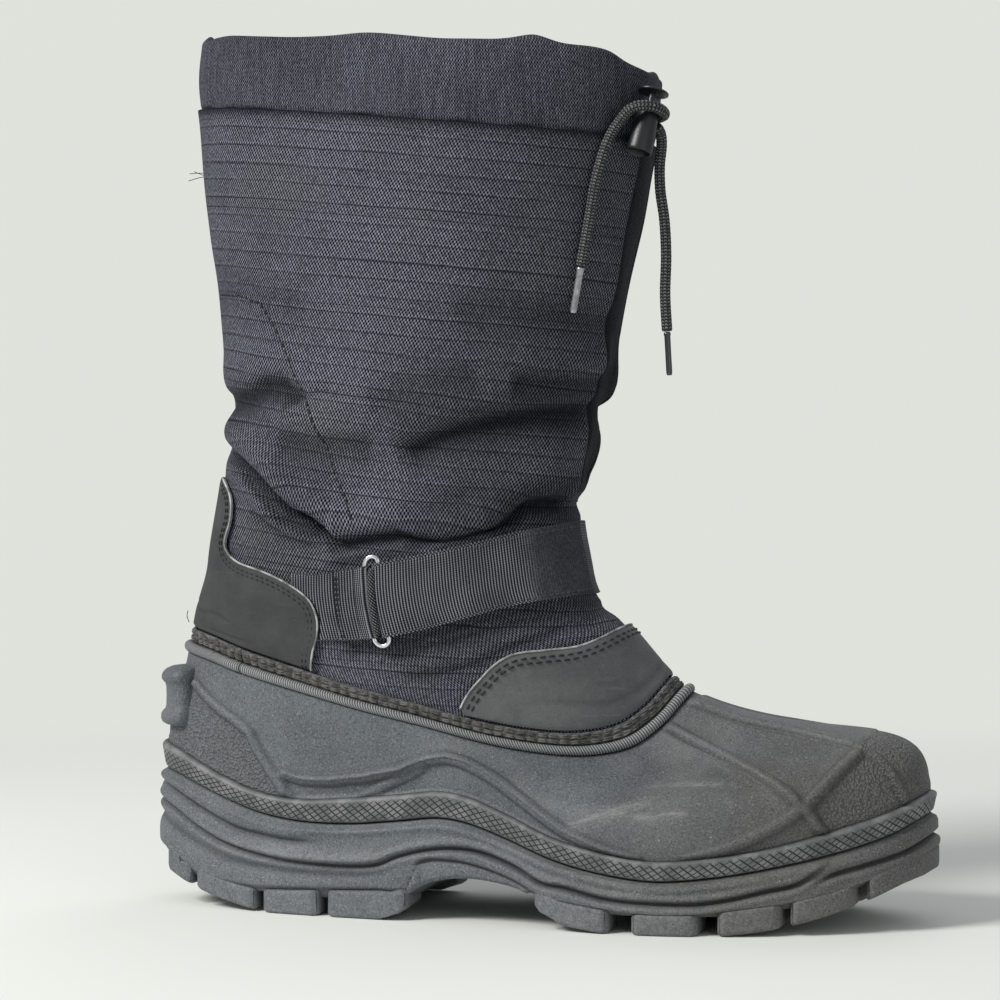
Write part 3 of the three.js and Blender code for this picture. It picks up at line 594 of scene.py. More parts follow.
def rubber(name, dark, light, rough, dust):
    """Matt moulded rubber, bluish at the heel, with dust; point values shape pebbling and scuffs."""
    p = Paint(name)
    pebble = p.value("pebble")
    colour = p.blend(p.ramp(p.noise(45, 5, 0.6), 0.3, 0.72), grey(dark, -0.03), grey(light, -0.05))
    grain = p.noise(1400, 3, 0.65)
    colour = p.blend(p.ramp(grain, 0.3, 0.5, 0.75, 0), colour, grey(dark * 0.25))
    colour = p.blend(p.ramp(grain, 0.53, 0.7, 0, 0.55), colour, grey(light * 2.2))
    colour = p.blend(pebble * 0.5, colour, grey(light * 1.35))
    toe = p.ramp(p.axis(0), 0, 0.15) + p.ramp(p.noise(9, 4), 0.35, 0.65, -0.25, 0.25)
    tint = p.blend(toe, (0.98, 1.04, 1.09, 1), (0.88, 0.84, 0.8, 1))
    colour = p.blend(1.0, colour, tint, "MULTIPLY")
    film = p.ramp(p.noise(26, 6, 0.7), 0.45, 0.7) * p.ramp(p.facing_up(), -0.3, 0.7)
    colour = p.blend(film * (dust * 0.35), colour, (0.22, 0.215, 0.19, 1))
    # painted shade in grooves, under lips and on the sole's underside
    colour = p.blend(p.value("hollow_shade") * 0.8, colour, grey(dark * 0.15))
    worn = p.value("worn") * p.ramp(p.noise(500, 4, 0.7), 0.3, 0.65)
    colour = p.blend(worn * 0.55, colour, grey(light * 2.3))
    streaks = p.ramp(p.noise(1, 5, 0.7, p.stretched((60, 900, 1200), 0.28)), 0.36, 0.64)
    colour = p.blend(p.value("scuff") * streaks * 0.6, colour, (0.27, 0.27, 0.26, 1))
    speck = p.ramp(p.cells(240), 0.085, 0.04) * p.ramp(p.noise(60, 2), 0.52, 0.6)
    colour = p.blend(speck * 0.8, colour, (0.42, 0.42, 0.38, 1))
    crinkle = p.noise(640, 3, 0.6) * 1.2 - p.cells(900) * 0.8
    # painted shade in the valleys of the pebbled crinkle
    colour = p.blend(p.ramp(crinkle, 0.35, 0.05) * pebble * 0.45, colour, grey(dark * 0.4))
    normal = p.bump(crinkle * pebble, 1.1, 1.0, p.bump(grain, 0.16, 0.7))
    return p.done(Base_Color=colour, Roughness=p.ramp(p.noise(90, 3), 0.3, 0.7, rough, rough + 0.14),
                  Normal=normal, Specular_IOR_Level=0.42)


def knurled(name, dark, light):
    """Rubber rolled with a raised diamond pattern, three to four rows high."""
    p = Paint(name)
    u, v = p.places()
    along, lean = u * (math.pi / 3.9), v * (math.pi / 2.7)
    crossing = p.math("MINIMUM", p.ridge(along + lean), p.ridge(along - lean))
    patterned = p.value("raised")
    shaped = p.ramp(crossing, 0.05, 0.4) * patterned + (1 - patterned)
    colour = p.blend(p.noise(45, 5, 0.6), grey(dark, -0.03), grey(light, -0.05))
    colour = p.blend(p.ramp(p.noise(1400, 3, 0.65), 0.3, 0.6, 0.4, 0), colour, grey(dark * 0.5))
    # painted shade in the grooves between the raised diamonds
    colour = p.blend(p.ramp(shaped, 0.75, 0.1, 0, 0.85), colour, grey(dark * 0.2))
    crown = p.ramp(shaped, 0.7, 1) * p.ramp(p.noise(150, 4), 0.4, 0.65, 0.15, 0.7)
    colour = p.blend(crown, colour, grey(light * 2.0))
    # painted shade at the band's sunk edges
    colour = p.blend(p.value("hollow_shade") * 0.85, colour, grey(dark * 0.12))
    normal = p.bump(p.noise(1400, 3, 0.6), 0.12, 0.5, p.bump(shaped, 0.8, 1.0))
    return p.done(Base_Color=colour, Roughness=0.56, Normal=normal, Specular_IOR_Level=0.42)


def nylon(name, pitch, row, dark, light, rib=None, depth=0.35, streak=0.0, front=0.68):
    """Heavy woven nylon: raised yarns in staggered dots, and a sunk line every few rows.
    It is darker near the back edge; painted shade darkens it at the front and where `fold` says."""
    p = Paint(name)
    u, v = p.places()
    v = v + (p.noise(11, 3) * 3.0 - 1.5)
    u = u + (p.noise(15, 3) * 2.4 - 1.2)
    column = p.wave(u, pitch)
    dots = column * p.wave(v, row)
    if streak:
        dots = column * 0.3 + dots * 0.8
    # the yarn pattern is partly painted light: yarn tops are painted light as sheen, the gaps near black as
    # shade
    yarn = p.ramp(dots, -0.4, 0.35)
    if streak:
        yarn = yarn * p.ramp(p.noise(1, 3, 0.6, p.stretched((800, 800, 45))), 0.35, 0.62, 1 - streak, 1.1)
    shade = yarn * p.ramp(p.noise(1000, 2), 0.25, 0.75, 0.35, 1.15)
    if rib:
        strength = p.ramp(p.noise(1, 3, 0.6, p.stretched((14, 14, 150))), 0.35, 0.6, 0.45, 0.8)
        line = p.ramp(p.wave(v, rib), 0.95, 0.99) * strength
        second = p.ramp(p.wave(v, rib * 2.5, 1.4), 0.994, 0.999) * strength
        line = p.math("MAXIMUM", line, second) * p.ramp(column, -0.9, 0.6, 1, 0.55)
        lit = p.ramp(p.wave(v, rib, -0.85), 0.9, 0.98, 0, 0.5) * strength
        shade = shade * (1 - line * 0.95) * (lit + 1)
    # painted shade: the cloth is darkened towards the front, where it turns away from the light; `worn`
    # carries it
    front_shade_mask = p.ramp(p.axis(0), -0.055, 0.02) * p.ramp(p.axis(2), 0.12, 0.17)
    worn = p.ramp(p.noise(13, 5, 0.6), 0.3, 0.72, 0.75, 1.15) * (front_shade_mask * (front - 1) + 1)
    # painted shade of the folds, the cuff's hem and the strap, from the `fold` attribute; darker near the
    # back edge too
    worn = worn * p.ramp(p.axis(0), -0.11, -0.06, 0.78, 1) * (1 - p.value("fold"))
    colour = p.blend(shade * worn, dark, light)
    dusty = p.ramp(p.noise(19, 4), 0.55, 0.75) * 0.25
    colour = p.blend(dusty * shade, colour, (0.2, 0.175, 0.15, 1))
    return p.done(Base_Color=colour, Roughness=0.74, Normal=p.bump(shade, depth, 0.9),
                  Specular_IOR_Level=0.09)


def nubuck(name, tone):
    """Smooth synthetic leather with clouds, creases and fine grain."""
    p = Paint(name)
    colour = p.blend(p.ramp(p.noise(38, 5, 0.6), 0.3, 0.72), grey(0.048 * tone, -0.05),
                     grey(0.08 * tone, -0.01))
    crease = p.value("crease") * p.ramp(p.noise(150, 3), 0.3, 0.6, 0.5, 1)
    colour = p.blend(crease * 0.6, colour, grey(0.02))
    grain = p.noise(1300, 4, 0.65)
    colour = p.blend(p.ramp(grain, 0.3, 0.5, 0.35, 0), colour, grey(0.025))
    streaks = p.ramp(p.noise(1, 4, 0.7, p.stretched((60, 60, 500))), 0.55, 0.75, 0, 0.3)
    colour = p.blend(streaks, colour, grey(0.13 * tone))
    normal = p.bump(p.noise(200, 3, 0.6), 0.6, 0.4, p.bump(grain, 0.16, 0.6))
    return p.done(Base_Color=colour, Roughness=0.6, Normal=normal, Specular_IOR_Level=0.3)


def plain(name, colour, rough, metal=0.0, spread=0.25, grain=None, **more):
    """A small part's finish: a little uneven in colour, with fine grain."""
    p = Paint(name)
    dim = tuple(c * (1 - spread) for c in colour[:3]) + (1,)
    if grain:
        more["Normal"] = p.bump(p.noise(grain, 3, 0.6), 0.12, 0.6)
    return p.done(Base_Color=p.blend(p.ramp(p.noise(180, 4, 0.6), 0.3, 0.7), dim, colour),
                  Roughness=rough, Metallic=metal, **more)


def webbing(name, pitch=1.2):
    """Ribbed webbing: u runs along the strap and v across it, with a selvage on both edges."""
    p = Paint(name)
    u, v = p.places()
    u = u + (p.noise(60, 2) * 0.5 - 0.25)
    edge = p.ramp(p.math("ABSOLUTE", v - STRAP_WIDTH / 2), 13.9, 14.6)
    yarn = p.wave(v, 0.85, 0.6) * 0.3 + p.wave(u, pitch) * 0.7
    selvage = p.wave(u, 1.6) * p.wave(v, 1.5)
    height = p.ramp(yarn * (1 - edge) + selvage * edge, -0.35, 0.9)
    fuzz = p.value("fuzz")
    fluff = p.ramp(p.noise(1100, 4, 0.7), 0.3, 0.75)
    height = height * (1 - fuzz * 0.75) + fluff * fuzz * 0.75
    worn = p.ramp(p.noise(55, 4), 0.3, 0.7, 0.65, 1.15)
    colour = p.blend(height * worn, (0.004, 0.0045, 0.007, 1), (0.25, 0.26, 0.29, 1))
    colour = p.blend(fuzz * 0.72, colour, (0.02, 0.02, 0.023, 1))
    return p.done(Base_Color=colour, Roughness=0.7, Normal=p.bump(height, 0.3, 0.9),
                  Specular_IOR_Level=0.18)


def braid(name):
    """A round braid's chevrons, over places that slant round the cord."""
    p = Paint(name)
    u, v = p.places()
    arch = p.ridge((u - v) * (math.pi / 2))
    along = (u + v) * (1 / 1.1) + arch * 0.7
    yarn = p.ramp(p.wave(along, 1.3), -0.8, 0.8) * p.ramp(arch, 0.1, 0.7, 0.1, 1)
    yarn = yarn * p.ramp(p.noise(700, 3), 0.3, 0.7, 0.4, 1.1)
    colour = p.blend(yarn, (0.004, 0.004, 0.0045, 1), (0.2, 0.2, 0.203, 1))
    return p.done(Base_Color=colour, Roughness=0.6, Normal=p.bump(yarn, 0.3, 0.9),
                  Specular_IOR_Level=0.25)


def edge_tape(name):
    """The rubber-coated tape round the shell's edge: finely ribbed bead, fibrous flange."""
    p = Paint(name)
    u, _ = p.places()
    flange = p.value("flange")
    fibre = p.ramp(p.noise(1, 5, 0.75, p.stretched((300, 500, 700))), 0.35, 0.65)
    ribbed = p.value("ribbed") * (1 - flange)
    rib = p.ramp(p.wave(u, 1.12), -0.9, 0.7)
    height = rib * ribbed + fibre * (1 - ribbed)
    bead = p.blend(rib, grey(0.08), grey(0.31, -0.02))
    bead = p.blend(1 - ribbed, bead, grey(0.19, -0.02))
    colour = p.blend(flange, bead, p.blend(fibre, grey(0.04, 0.02), grey(0.18, 0.02)))
    lint = p.ramp(p.noise(1300, 4, 0.8), 0.6, 0.72, 0, 0.6)
    colour = p.blend(lint * flange, colour, grey(0.2, 0.03))
    # painted shade in the strip's tucks and its sunk butt joint
    colour = p.blend(p.value("hollow_shade"), colour, grey(0.006))
    return p.done(Base_Color=colour, Roughness=0.62, Normal=p.bump(height, 0.4, 0.9),
                  Specular_IOR_Level=0.35)


def bound_edge(name):
    """The bound edge that crosses the ring: pale slanting stitches over black."""
    p = Paint(name)
    u, v = p.places()
    slant = p.ramp(p.wave(u + v * 0.9, 1.35), 0, 0.8)
    height = slant * p.ramp(p.wave(v - u * 0.4, 1.3), -0.7, 0.3, 0.3, 1)
    colour = p.blend(height, (0.006, 0.006, 0.008, 1), (0.24, 0.24, 0.25, 1))
    return p.done(Base_Color=colour, Roughness=0.7, Normal=p.bump(height, 0.4, 0.9),
                  Specular_IOR_Level=0.2)


STRAP_WIDTH = 31.5
NYLON_BLACK = (0.0016, 0.0019, 0.0036, 1)
SHELL_PAINT = rubber("shell rubber", 0.092, 0.124, 0.54, 0.7)
SOLE_PAINT = rubber("sole rubber", 0.1, 0.138, 0.6, 0.9)
BAND_PAINT = knurled("knurled rubber", 0.09, 0.12)
SHAFT_PAINT = nylon("shaft nylon", 1.4, 1.95, NYLON_BLACK, (0.262, 0.275, 0.33, 1), rib=7.2)
PANEL_PAINT = nylon("front panel nylon", 2.2, 1.1, (0.002, 0.0025, 0.0032, 1), (0.052, 0.06, 0.066, 1),
                    depth=0.2)
CUFF_PAINT = nylon("cuff nylon", 1.15, 1.6, NYLON_BLACK, (0.215, 0.227, 0.275, 1), streak=0.3, front=0.85)
HEEL_NUBUCK = nubuck("heel nubuck", 0.72)
VAMP_NUBUCK = nubuck("vamp nubuck", 1.62)
RAW_EDGE = plain("raw cut edge", (0.5, 0.5, 0.49, 1), 0.85, spread=0.75, grain=1400)
THREAD = plain("black thread", (0.02, 0.02, 0.022, 1), 0.5, spread=0.5, grain=2500,
               Specular_IOR_Level=0.3)
GREY_THREAD = plain("worn thread", (0.1, 0.1, 0.108, 1), 0.55, spread=0.6, grain=2500,
                    Specular_IOR_Level=0.3)
SEAM_THREAD = plain("dusty thread", (0.165, 0.16, 0.155, 1), 0.7, spread=0.75, grain=1800,
                    Specular_IOR_Level=0.2)
TAPE_PAINT = edge_tape("edge tape")
WEBBING_PAINT = webbing("ribbed webbing")
BINDING_PAINT = bound_edge("bound edge")
WIRE_PAINT = plain("nickel wire", (0.85, 0.85, 0.86, 1), 0.25, 1.0, spread=0.12, grain=600)
LOCK_PAINT = plain("black moulded plastic", (0.012, 0.0125, 0.014, 1), 0.36, spread=0.2, grain=1800)
CORD_PAINT = braid("braided cord")
CLEAR_PAINT = plain("clear shrink tube", (0.6, 0.6, 0.62, 1), 0.12, 0.7, spread=0.6,
                    Coat_Weight=1.0, Coat_Roughness=0.03)
SMOKE_PAINT = plain("smoke shrink tube", (0.03, 0.03, 0.033, 1), 0.2, spread=0.3, Coat_Weight=0.6)
LINING_PAINT = plain("felt lining", (0.06, 0.061, 0.066, 1), 0.95, spread=0.4, grain=900,
                     Specular_IOR_Level=0.1)


# ---------------------------------------------------------------- camera, light and floor
CAMERA_AZIMUTH = math.radians(15)
CAMERA_DISTANCE = 1120.0
AIM = np.array([166.0, 0.0, 168.5])
FOCAL_PIXELS = 2722.0
AIM_SHIFT = 0.048


def make_camera():
    data = bpy.data.cameras.new("camera")
    data.sensor_width = 36
    data.lens = FOCAL_PIXELS / 1000 * 36
    data.shift_x = -AIM_SHIFT
    data.clip_end = 20
    back = np.array([math.sin(CAMERA_AZIMUTH), -math.cos(CAMERA_AZIMUTH), 0])
    camera = bpy.data.objects.new("camera", data)
    camera.location = to_frame(AIM + back * CAMERA_DISTANCE)
    camera.rotation_euler = (math.pi / 2, 0, CAMERA_AZIMUTH)
    bpy.context.collection.objects.link(camera)
    bpy.context.scene.camera = camera


def area_light(name, place, aim, size, power, colour=(1, 1, 1)):
    data = bpy.data.lights.new(name, "AREA")
    data.shape = "RECTANGLE"
    data.size = data.size_y = size
    data.energy = power
    data.color = colour
    light = bpy.data.objects.new(name, data)
    light.location = place
    toward = mathutils.Vector(aim) - mathutils.Vector(place)
    light.rotation_euler = toward.to_track_quat("-Z", "Y").to_euler()
    bpy.context.collection.objects.link(light)


def make_studio():
    """A pale backdrop that the camera sees, a weaker glow that lights the boot, and three lights."""
    scene = bpy.context.scene
    scene.view_settings.view_transform = "Standard"
    world = bpy.data.worlds.new("studio")
    scene.world = world
    world.use_nodes = True
    nodes, links = world.node_tree.nodes, world.node_tree.links
    nodes.clear()
    seen = nodes.new("ShaderNodeBackground")
    seen.inputs[0].default_value = (0.742, 0.76, 0.714, 1)
    glow = nodes.new("ShaderNodeBackground")
    glow.inputs[0].default_value = (0.93, 0.97, 1.0, 1)
    glow.inputs[1].default_value = 0.42
    path = nodes.new("ShaderNodeLightPath")
    mix = nodes.new("ShaderNodeMixShader")
    out = nodes.new("ShaderNodeOutputWorld")
    links.new(path.outputs["Is Camera Ray"], mix.inputs[0])
    links.new(glow.outputs[0], mix.inputs[1])
    links.new(seen.outputs[0], mix.inputs[2])
    links.new(mix.outputs[0], out.inputs[0])
    area_light("key", (-1.15, -1.2, 1.4), (0, 0, 0.12), 0.7, 40, (1, 0.985, 0.96))
    area_light("fill", (1.3, -1.3, 0.5), (0, 0, 0.12), 1.2, 3, (0.95, 0.98, 1))
    area_light("back", (0.2, 1.4, 1.3), (0, 0, 0.2), 1.2, 4)


def make_floor():
    """A pale floor that fades out round the boot."""
    p = Paint("floor")
    away = p.node("ShaderNodeVectorMath", {0: p.where()}, "Value", operation="LENGTH")
    matt = p.node("ShaderNodeBsdfDiffuse", {0: (0.82, 0.83, 0.79, 1)})
    clear = p.node("ShaderNodeBsdfTransparent")
    p.finish(p.node("ShaderNodeMixShader", {0: p.ramp(away, 0.35, 1.05), 1: matt, 2: clear}))
    mesh = bpy.data.meshes.new("floor")
    half = 1.1
    corners = [(-half, -half, 0), (half, -half, 0), (half, half, 0), (-half, half, 0)]
    mesh.from_pydata(corners, [], [(0, 1, 2, 3)])
    mesh.materials.append(p.material)
    floor = bpy.data.objects.new("floor", mesh)
    bpy.context.collection.objects.link(floor)


make_camera()
make_studio()
make_floor()

# ---------------------------------------------------------------- drawcord, lock and aglets
NEAR_ROUTE = [
    [209, -16.9, 321.1], [211.6, -16.2, 321.3], [214.3, -15.8, 321.5], [217.1, -16.9, 321.8],
    [219.2, -19.4, 322.2], [219.9, -22.3, 322.8], [219.5, -25.1, 323.5], [218.2, -27.4, 324.2],
    [216.3, -29.1, 324.7], [213.4, -30.3, 324.9], [210, -30.8, 324.4], [206.8, -30.5, 322.6],
    [203.9, -30.1, 319.3], [201.2, -31.2, 315.2], [198.8, -33.2, 309.2], [196.4, -34.2, 301],
    [194.3, -34, 293], [192.4, -33.2, 283], [190.3, -32.8, 272], [188.3, -32.4, 261.5],
]
FAR_ROUTE = [
    [216, -18.4, 318], [217, -15.6, 315.2], [216.8, -13.2, 310.6], [215.8, -12.2, 303],
    [216, -12, 293.3], [217.7, -12, 281], [218.4, -12, 267], [218, -12, 251], [218.8, -12, 236.4],
]
CORD = 4.5


def make_cord(name, route, node):
    """A braided cord: its surface swells a little at each crossing of the strands."""
    path = catmull(route, 220)
    along = walked_along(path)[:, None]
    around = 32
    turn = angles(around)[None]
    strands = np.cos(4 * turn + along * 1.7) * np.cos(4 * turn - along * 1.7)
    radius = CORD / 2 * (1 + 0.035 * (strands - 1))
    radius[[0, 1, -2, -1]] *= 0.9
    share = np.arange(around + 1)[None] / around
    places = stacked(along * 0.55 + 8 * share, along * 0.55 - 8 * share)
    build = Build()
    build.grid(tube_points(path, radius, around), places, ends=(0, -1))
    piece = make_piece(name, build, CORD_PAINT, node)


def make_aglet(name, route, diameter, length, node, paint):
    """A shrink tube over a cord's end, with a rolled lip where the cord goes in."""
    end, before = np.array(route[-1], float), np.array(route[-2], float)
    along = unit(end - before)
    profile = np.array([(0, 0.75), (0.02, 1.12), (0.06, 1.16), (0.1, 1), (0.5, 0.98), (0.9, 1),
                        (0.97, 0.93), (1, 0.7)])
    line = end + along * (0.3 + profile[:, :1] * length)
    build = Build()
    build.grid(tube_points(line, diameter / 2 * profile[:, 1:], 20), ends=(0, -1))
    return make_piece(name, build, paint, node, sharp=50)


near_tip = make_aglet("aglet_near_look", NEAR_ROUTE, 2.8, 18.5, "aglet_near", CLEAR_PAINT)
far_tip = make_aglet("aglet_far_look", FAR_ROUTE, 2.5, 17.5, "aglet_far", SMOKE_PAINT)
make_cord("drawcord_near_look", NEAR_ROUTE, "drawcord_near")
make_cord("drawcord_far_look", FAR_ROUTE, "drawcord_far")

LOCK_PLACE = np.array([214.0, -21.6, 326.0])
LOCK_LEAN = 0.19
LOCK_TIP = -0.22
# profiles as (radius, height on the lock's axis)
BARREL = [
    (0.05, -17), (3.6, -17), (4.2, -17.4), (4.5, -19.6), (4.8, -20), (5.1, -19.9), (5.35, -19.5),
    (5.4, -18.6), (5.38, -16), (5.25, -13.5), (5.0, -11), (4.75, -8.5), (4.5, -6), (4.25, -3),
    (4.0, -1.2), (3.75, -0.3), (3.4, 0), (2.0, 0), (1.9, -0.4), (1.9, -8), (0.05, -8),
]
PLUNGER = [
    (0.05, -3.5), (1.4, -3.5), (1.5, -3.2), (1.5, 4.6), (1.8, 4.9), (4.5, 5.0), (5.9, 5.1),
    (6.25, 5.4), (6.3, 5.8), (6.1, 6.15), (5.4, 6.4), (3.4, 6.8), (1.5, 7.0), (0.05, 7.05),
]


def make_turned(name, profile, node, body):
    """A part of the cord lock: a profile turned about the lock's leaning axis."""
    rows = np.array(profile, float)
    turn = angles(48)
    points = stacked(rows[:, :1] * np.cos(turn), rows[:, :1] * np.sin(turn), rows[:, 1:])
    lean = mathutils.Matrix.Rotation(LOCK_TIP, 3, "X") @ mathutils.Matrix.Rotation(LOCK_LEAN, 3, "Y")
    build = Build()
    build.grid(points @ np.array(lean).T + LOCK_PLACE, ends=(0, -1))
    make_piece(name, build, LOCK_PAINT, node, body, 40)


make_turned("cord_lock_barrel_look", BARREL, "cord_lock_barrel", "boot")
make_turned("cord_lock_plunger_look", PLUNGER, "cord_lock_plunger", "plunger")

# ---------------------------------------------------------------- outsole
# half width of each groove, its depth, the lip's overhang above it, and its line along the sole
GROOVES = [
    (1.3, 1.7, 0.8, [
        (0, 51.4), (0.04, 45.7), (0.083, 39.8), (0.134, 33.4), (0.171, 31.3), (0.205, 29.9),
        (0.26, 29.2),
    ]),
    (0.95, 2.3, 1.1, [
        (0, 43.6), (0.04, 38.7), (0.083, 31.6), (0.122, 26.6), (0.171, 23.2), (0.219, 21.3),
        (0.288, 20.7), (0.333, 22), (0.357, 25.3), (0.395, 28.5), (0.431, 29.7), (0.469, 28.7),
        (0.514, 23.9), (0.549, 18.1), (0.58, 16.7), (0.623, 13.6), (0.665, 12.3), (0.733, 12.1),
        (0.777, 14), (0.821, 17.3), (0.854, 19.7), (0.878, 24.7), (0.9, 30),
    ]),
    (0.95, 2, 0.9, [
        (0.87, 18.5), (0.891, 22.7), (0.929, 26.4), (0.971, 30.7), (1, 36),
    ]),
    (2.2, 1.1, 0.5, [
        (0, 37.5), (0.04, 31), (0.09, 24), (0.14, 19.6), (0.19, 18.2), (0.25, 17.7), (0.31, 18.2),
        (0.36, 20),
    ]),
]
lug_top, = curves([
    (0, 30), (0.07, 12.5), (0.152, 8.6), (0.2, 8.8), (0.25, 9.6), (0.33, 10.6), (0.369, 11.4),
    (0.379, 17.5), (0.388, 23.6), (0.43, 25), (0.47, 23), (0.51, 19), (0.535, 15), (0.55, 12.2),
    (0.631, 8.6), (0.686, 7.2), (0.729, 7.4), (0.787, 9.5), (0.828, 11), (0.873, 13.9), (0.913, 17.3),
    (0.957, 23.4), (1, 30),
])
# start, end and depth of each lug at the sole's edge
EDGE_LUGS = [
    (4.5, 20, 20), (21.8, 52, 17), (55, 81, 17), (84.5, 120, 19), (174, 205, 17), (214, 240, 18),
    (247, 271, 18), (274, 298, 17), (301.5, 317.5, 15),
]
# place, length and width of each block between them
MIDDLE_LUGS = [
    (38, 20, 22), (68, 20, 26), (98, 20, 26), (190, 20, 34), (218, 18, 44), (246, 18, 44),
    (274, 18, 38),
]
LUG_HEIGHT = 8.4
LUG_PROUD = 4.2


def sole_wall(angle, share):
    """Height, growth and painted hollow shade of the sidewall: share 0 at the parting line, 1 at its foot.
    """
    t = sole_share(angle)
    top = parting_z(t) - 0.2
    crease = lug_top(t)
    arch = step(t, 0.366, 0.374) * (1 - step(t, 0.531, 0.537))
    low = np.where(arch > 0, lerp(crease, base_z(t) + 0.6, arch), crease)
    low = np.where(t < 0.05, lerp(base_z(t) + 1, low, step(t, 0.015, 0.05)), low)
    low = np.minimum(low, top - 6)
    z = lerp(top, low, share)
    grow = 0.2 + 1.9 * step(share, 0, 0.1) + 1.5 * step(share, 0.3, 0.9)
    # painted shade under the shell's lip, then in each groove and under the arch's crease
    hollow_shade = 0.8 * (1 - step(share, 0.0, 0.025))
    shape = 0.9 * bell(z - top + 3.0, 1.6)
    for width, depth, lip, rows in GROOVES:
        line, = curves(rows)
        first, last = rows[0][0], rows[-1][0]
        fade = step(t, first - 0.001, first + 0.03) if first > 0 else 1.0
        fade = fade * (1 - step(t, last - 0.05, last)) if last < 1 else fade
        off = z - line(t)
        shape = shape + fade * (lip * bell(off - width * 2.4, width * 1.6) - depth * bell(off, width)
                                + 0.6 * lip * bell(off + width * 2.6, width * 1.6))
        hollow_shade = hollow_shade + fade * bell(off, width * 0.8) * min(depth / 2, 1)
    # the block in the arch sits back from its neighbours, under a crease of its own
    under = 1 - step(z - crease, -0.5, 0.4)
    shape = shape - 1.5 * between(t, 0.391, 0.521, 0.004) * under * arch - 0.9 * arch * bell(z - crease, 0.9)
    hollow_shade = hollow_shade + arch * bell(z - crease, 0.8)
    foot = step(share, 0.9, 1.0) * (1 - arch)
    grow = grow - 2.4 * foot - 0.9 * arch * step(share, 0.93, 1.0)
    shape = shape * step(share, 0, 0.06) * (1 - foot)
    # painted shade also where the foot of the wall pulls in
    return z, grow + shape, np.clip(hollow_shade + 0.35 * foot, 0, 1)


def worn_of(points):
    """Paler rubber near the ground and on the heel's bulge."""
    x, z = points[..., 0], points[..., 2]
    return 0.35 * (1 - step(z, 2, 18)) + 0.6 * bell(x - 65, 35) * bell(z - 25, 4)


def edge_at(x, side, grow):
    t = (x + grow) / (LAST_LENGTH + 2 * grow)
    return sole_point(-side * angle_of(t), grow, 0.0)


def edge_lug(start, end, depth, side):
    """The plan of a lug at the sole's edge, on one side."""
    stops = [start, *np.linspace(start + 2.5, end - 2.5, 7), end]
    outside = [edge_at(x, side, LUG_PROUD - 2.2 * (x in (start, end))) for x in stops]
    inside = [edge_at(x, side, 3) - [0, side * depth, 0] for x in (end, start)]
    middle = float(swing(start / LAST_LENGTH, SOLE_SWING))
    plan = [(p[0], side * max(side * (p[1] - middle), 3) + middle) for p in outside + inside]
    return plan if side < 0 else plan[::-1]


def middle_lug(x, length, width):
    """The plan of a block in the middle of the tread, pointed on both sides."""
    y = float(swing(x / LAST_LENGTH, SOLE_SWING)) - 1
    far, wide, point = length / 2, width / 2 - 4, width / 2
    return [(x - far, y - wide), (x, y - point), (x + far, y - wide),
            (x + far, y + wide), (x, y + point), (x - far, y + wide)]


def toe_lug():
    outside = [sole_point(s * math.pi, 3.6, 0.0)
               for s in (0.88, 0.91, 0.94, 0.97, 1, -0.97, -0.94, -0.91, -0.88)]
    inside = [sole_point(s * math.pi, -9, 0.0) for s in (-0.85, 0.85)]
    return [(p[0], p[1]) for p in outside + inside]


def add_lug(build, plan, at_edge=True):
    """A block with rounded edges over a plan outline, its face following the tread. At the edge
    it reaches up to the crease in the sidewall."""
    plan = np.array(plan, float)
    made = bmesh.new()
    t = np.clip(plan[:, 0] / LAST_LENGTH, 0, 1)
    foot = np.maximum(tread_z(t), 0)
    top = foot + LUG_HEIGHT
    if at_edge:
        beside_arch = np.where((t > 0.35) & (t < 0.56), 0.3, t)
        top = np.maximum(top, lug_top(beside_arch) + 1)
    low = [made.verts.new((x, y, z)) for (x, y), z in zip(plan, foot)]
    high = [made.verts.new((x, y, z)) for (x, y), z in zip(plan, top)]
    made.faces.new(low[::-1])
    made.faces.new(high)
    for a, b, c, d in zip(low, low[1:] + low[:1], high[1:] + high[:1], high):
        made.faces.new((a, b, c, d))
    bmesh.ops.recalc_face_normals(made, faces=made.faces)
    sharp = [e for e in made.edges if e.calc_face_angle(0) > math.radians(25)]
    bmesh.ops.bevel(made, geom=sharp, offset=1.7, segments=4, affect="EDGES", profile=0.55)
    bmesh.ops.triangulate(made, faces=[f for f in made.faces if len(f.verts) > 4])
    points = np.array([v.co for v in made.verts])
    points[:, 2] = np.maximum(points[:, 2], 0)
    for size in (3, 4):
        faces = [[v.index for v in f.verts] for f in made.faces if len(f.verts) == size]
        first = build.add_points(points, {"worn": worn_of(points) * 1.3})
        build.add_faces(np.array(faces) + first)
    made.free()


def make_outsole():
    angle = angles(900)
    shares = np.linspace(0, 1, 70)
    z, grow, hollow_shade = sole_wall(angle[None], shares[:, None])
    wall = sole_point(angle[None], grow, z)
    t = sole_share(angle)
    under = [sole_point(angle, -5, base_z(t)), sole_point(angle, 0.4, np.minimum(base_z(t) + 1.0, z[-1]))]
    over = [sole_point(angle, -0.6, parting_z(t)), sole_point(angle, -4.6, parting_z(t)),
            sole_point(angle, -5.0, deck_z(t))]
    rings = np.concatenate([under, wall[::-1], over])
    values = np.zeros(rings.shape[:2])
    values[2:2 + len(shares)] = hollow_shade[::-1]
    # painted shade on the sole's underside
    values[:2] = 0.7
    build = Build()
    build.grid(rings, ends=(0, -1), values={"hollow_shade": values, "worn": worn_of(rings)})
    for row in EDGE_LUGS:
        for side in (-1, 1):
            add_lug(build, edge_lug(*row, side))
    for row in MIDDLE_LUGS:
        add_lug(build, middle_lug(*row), False)
    add_lug(build, toe_lug())
    make_piece("outsole_look", build, SOLE_PAINT, "outsole")


make_outsole()


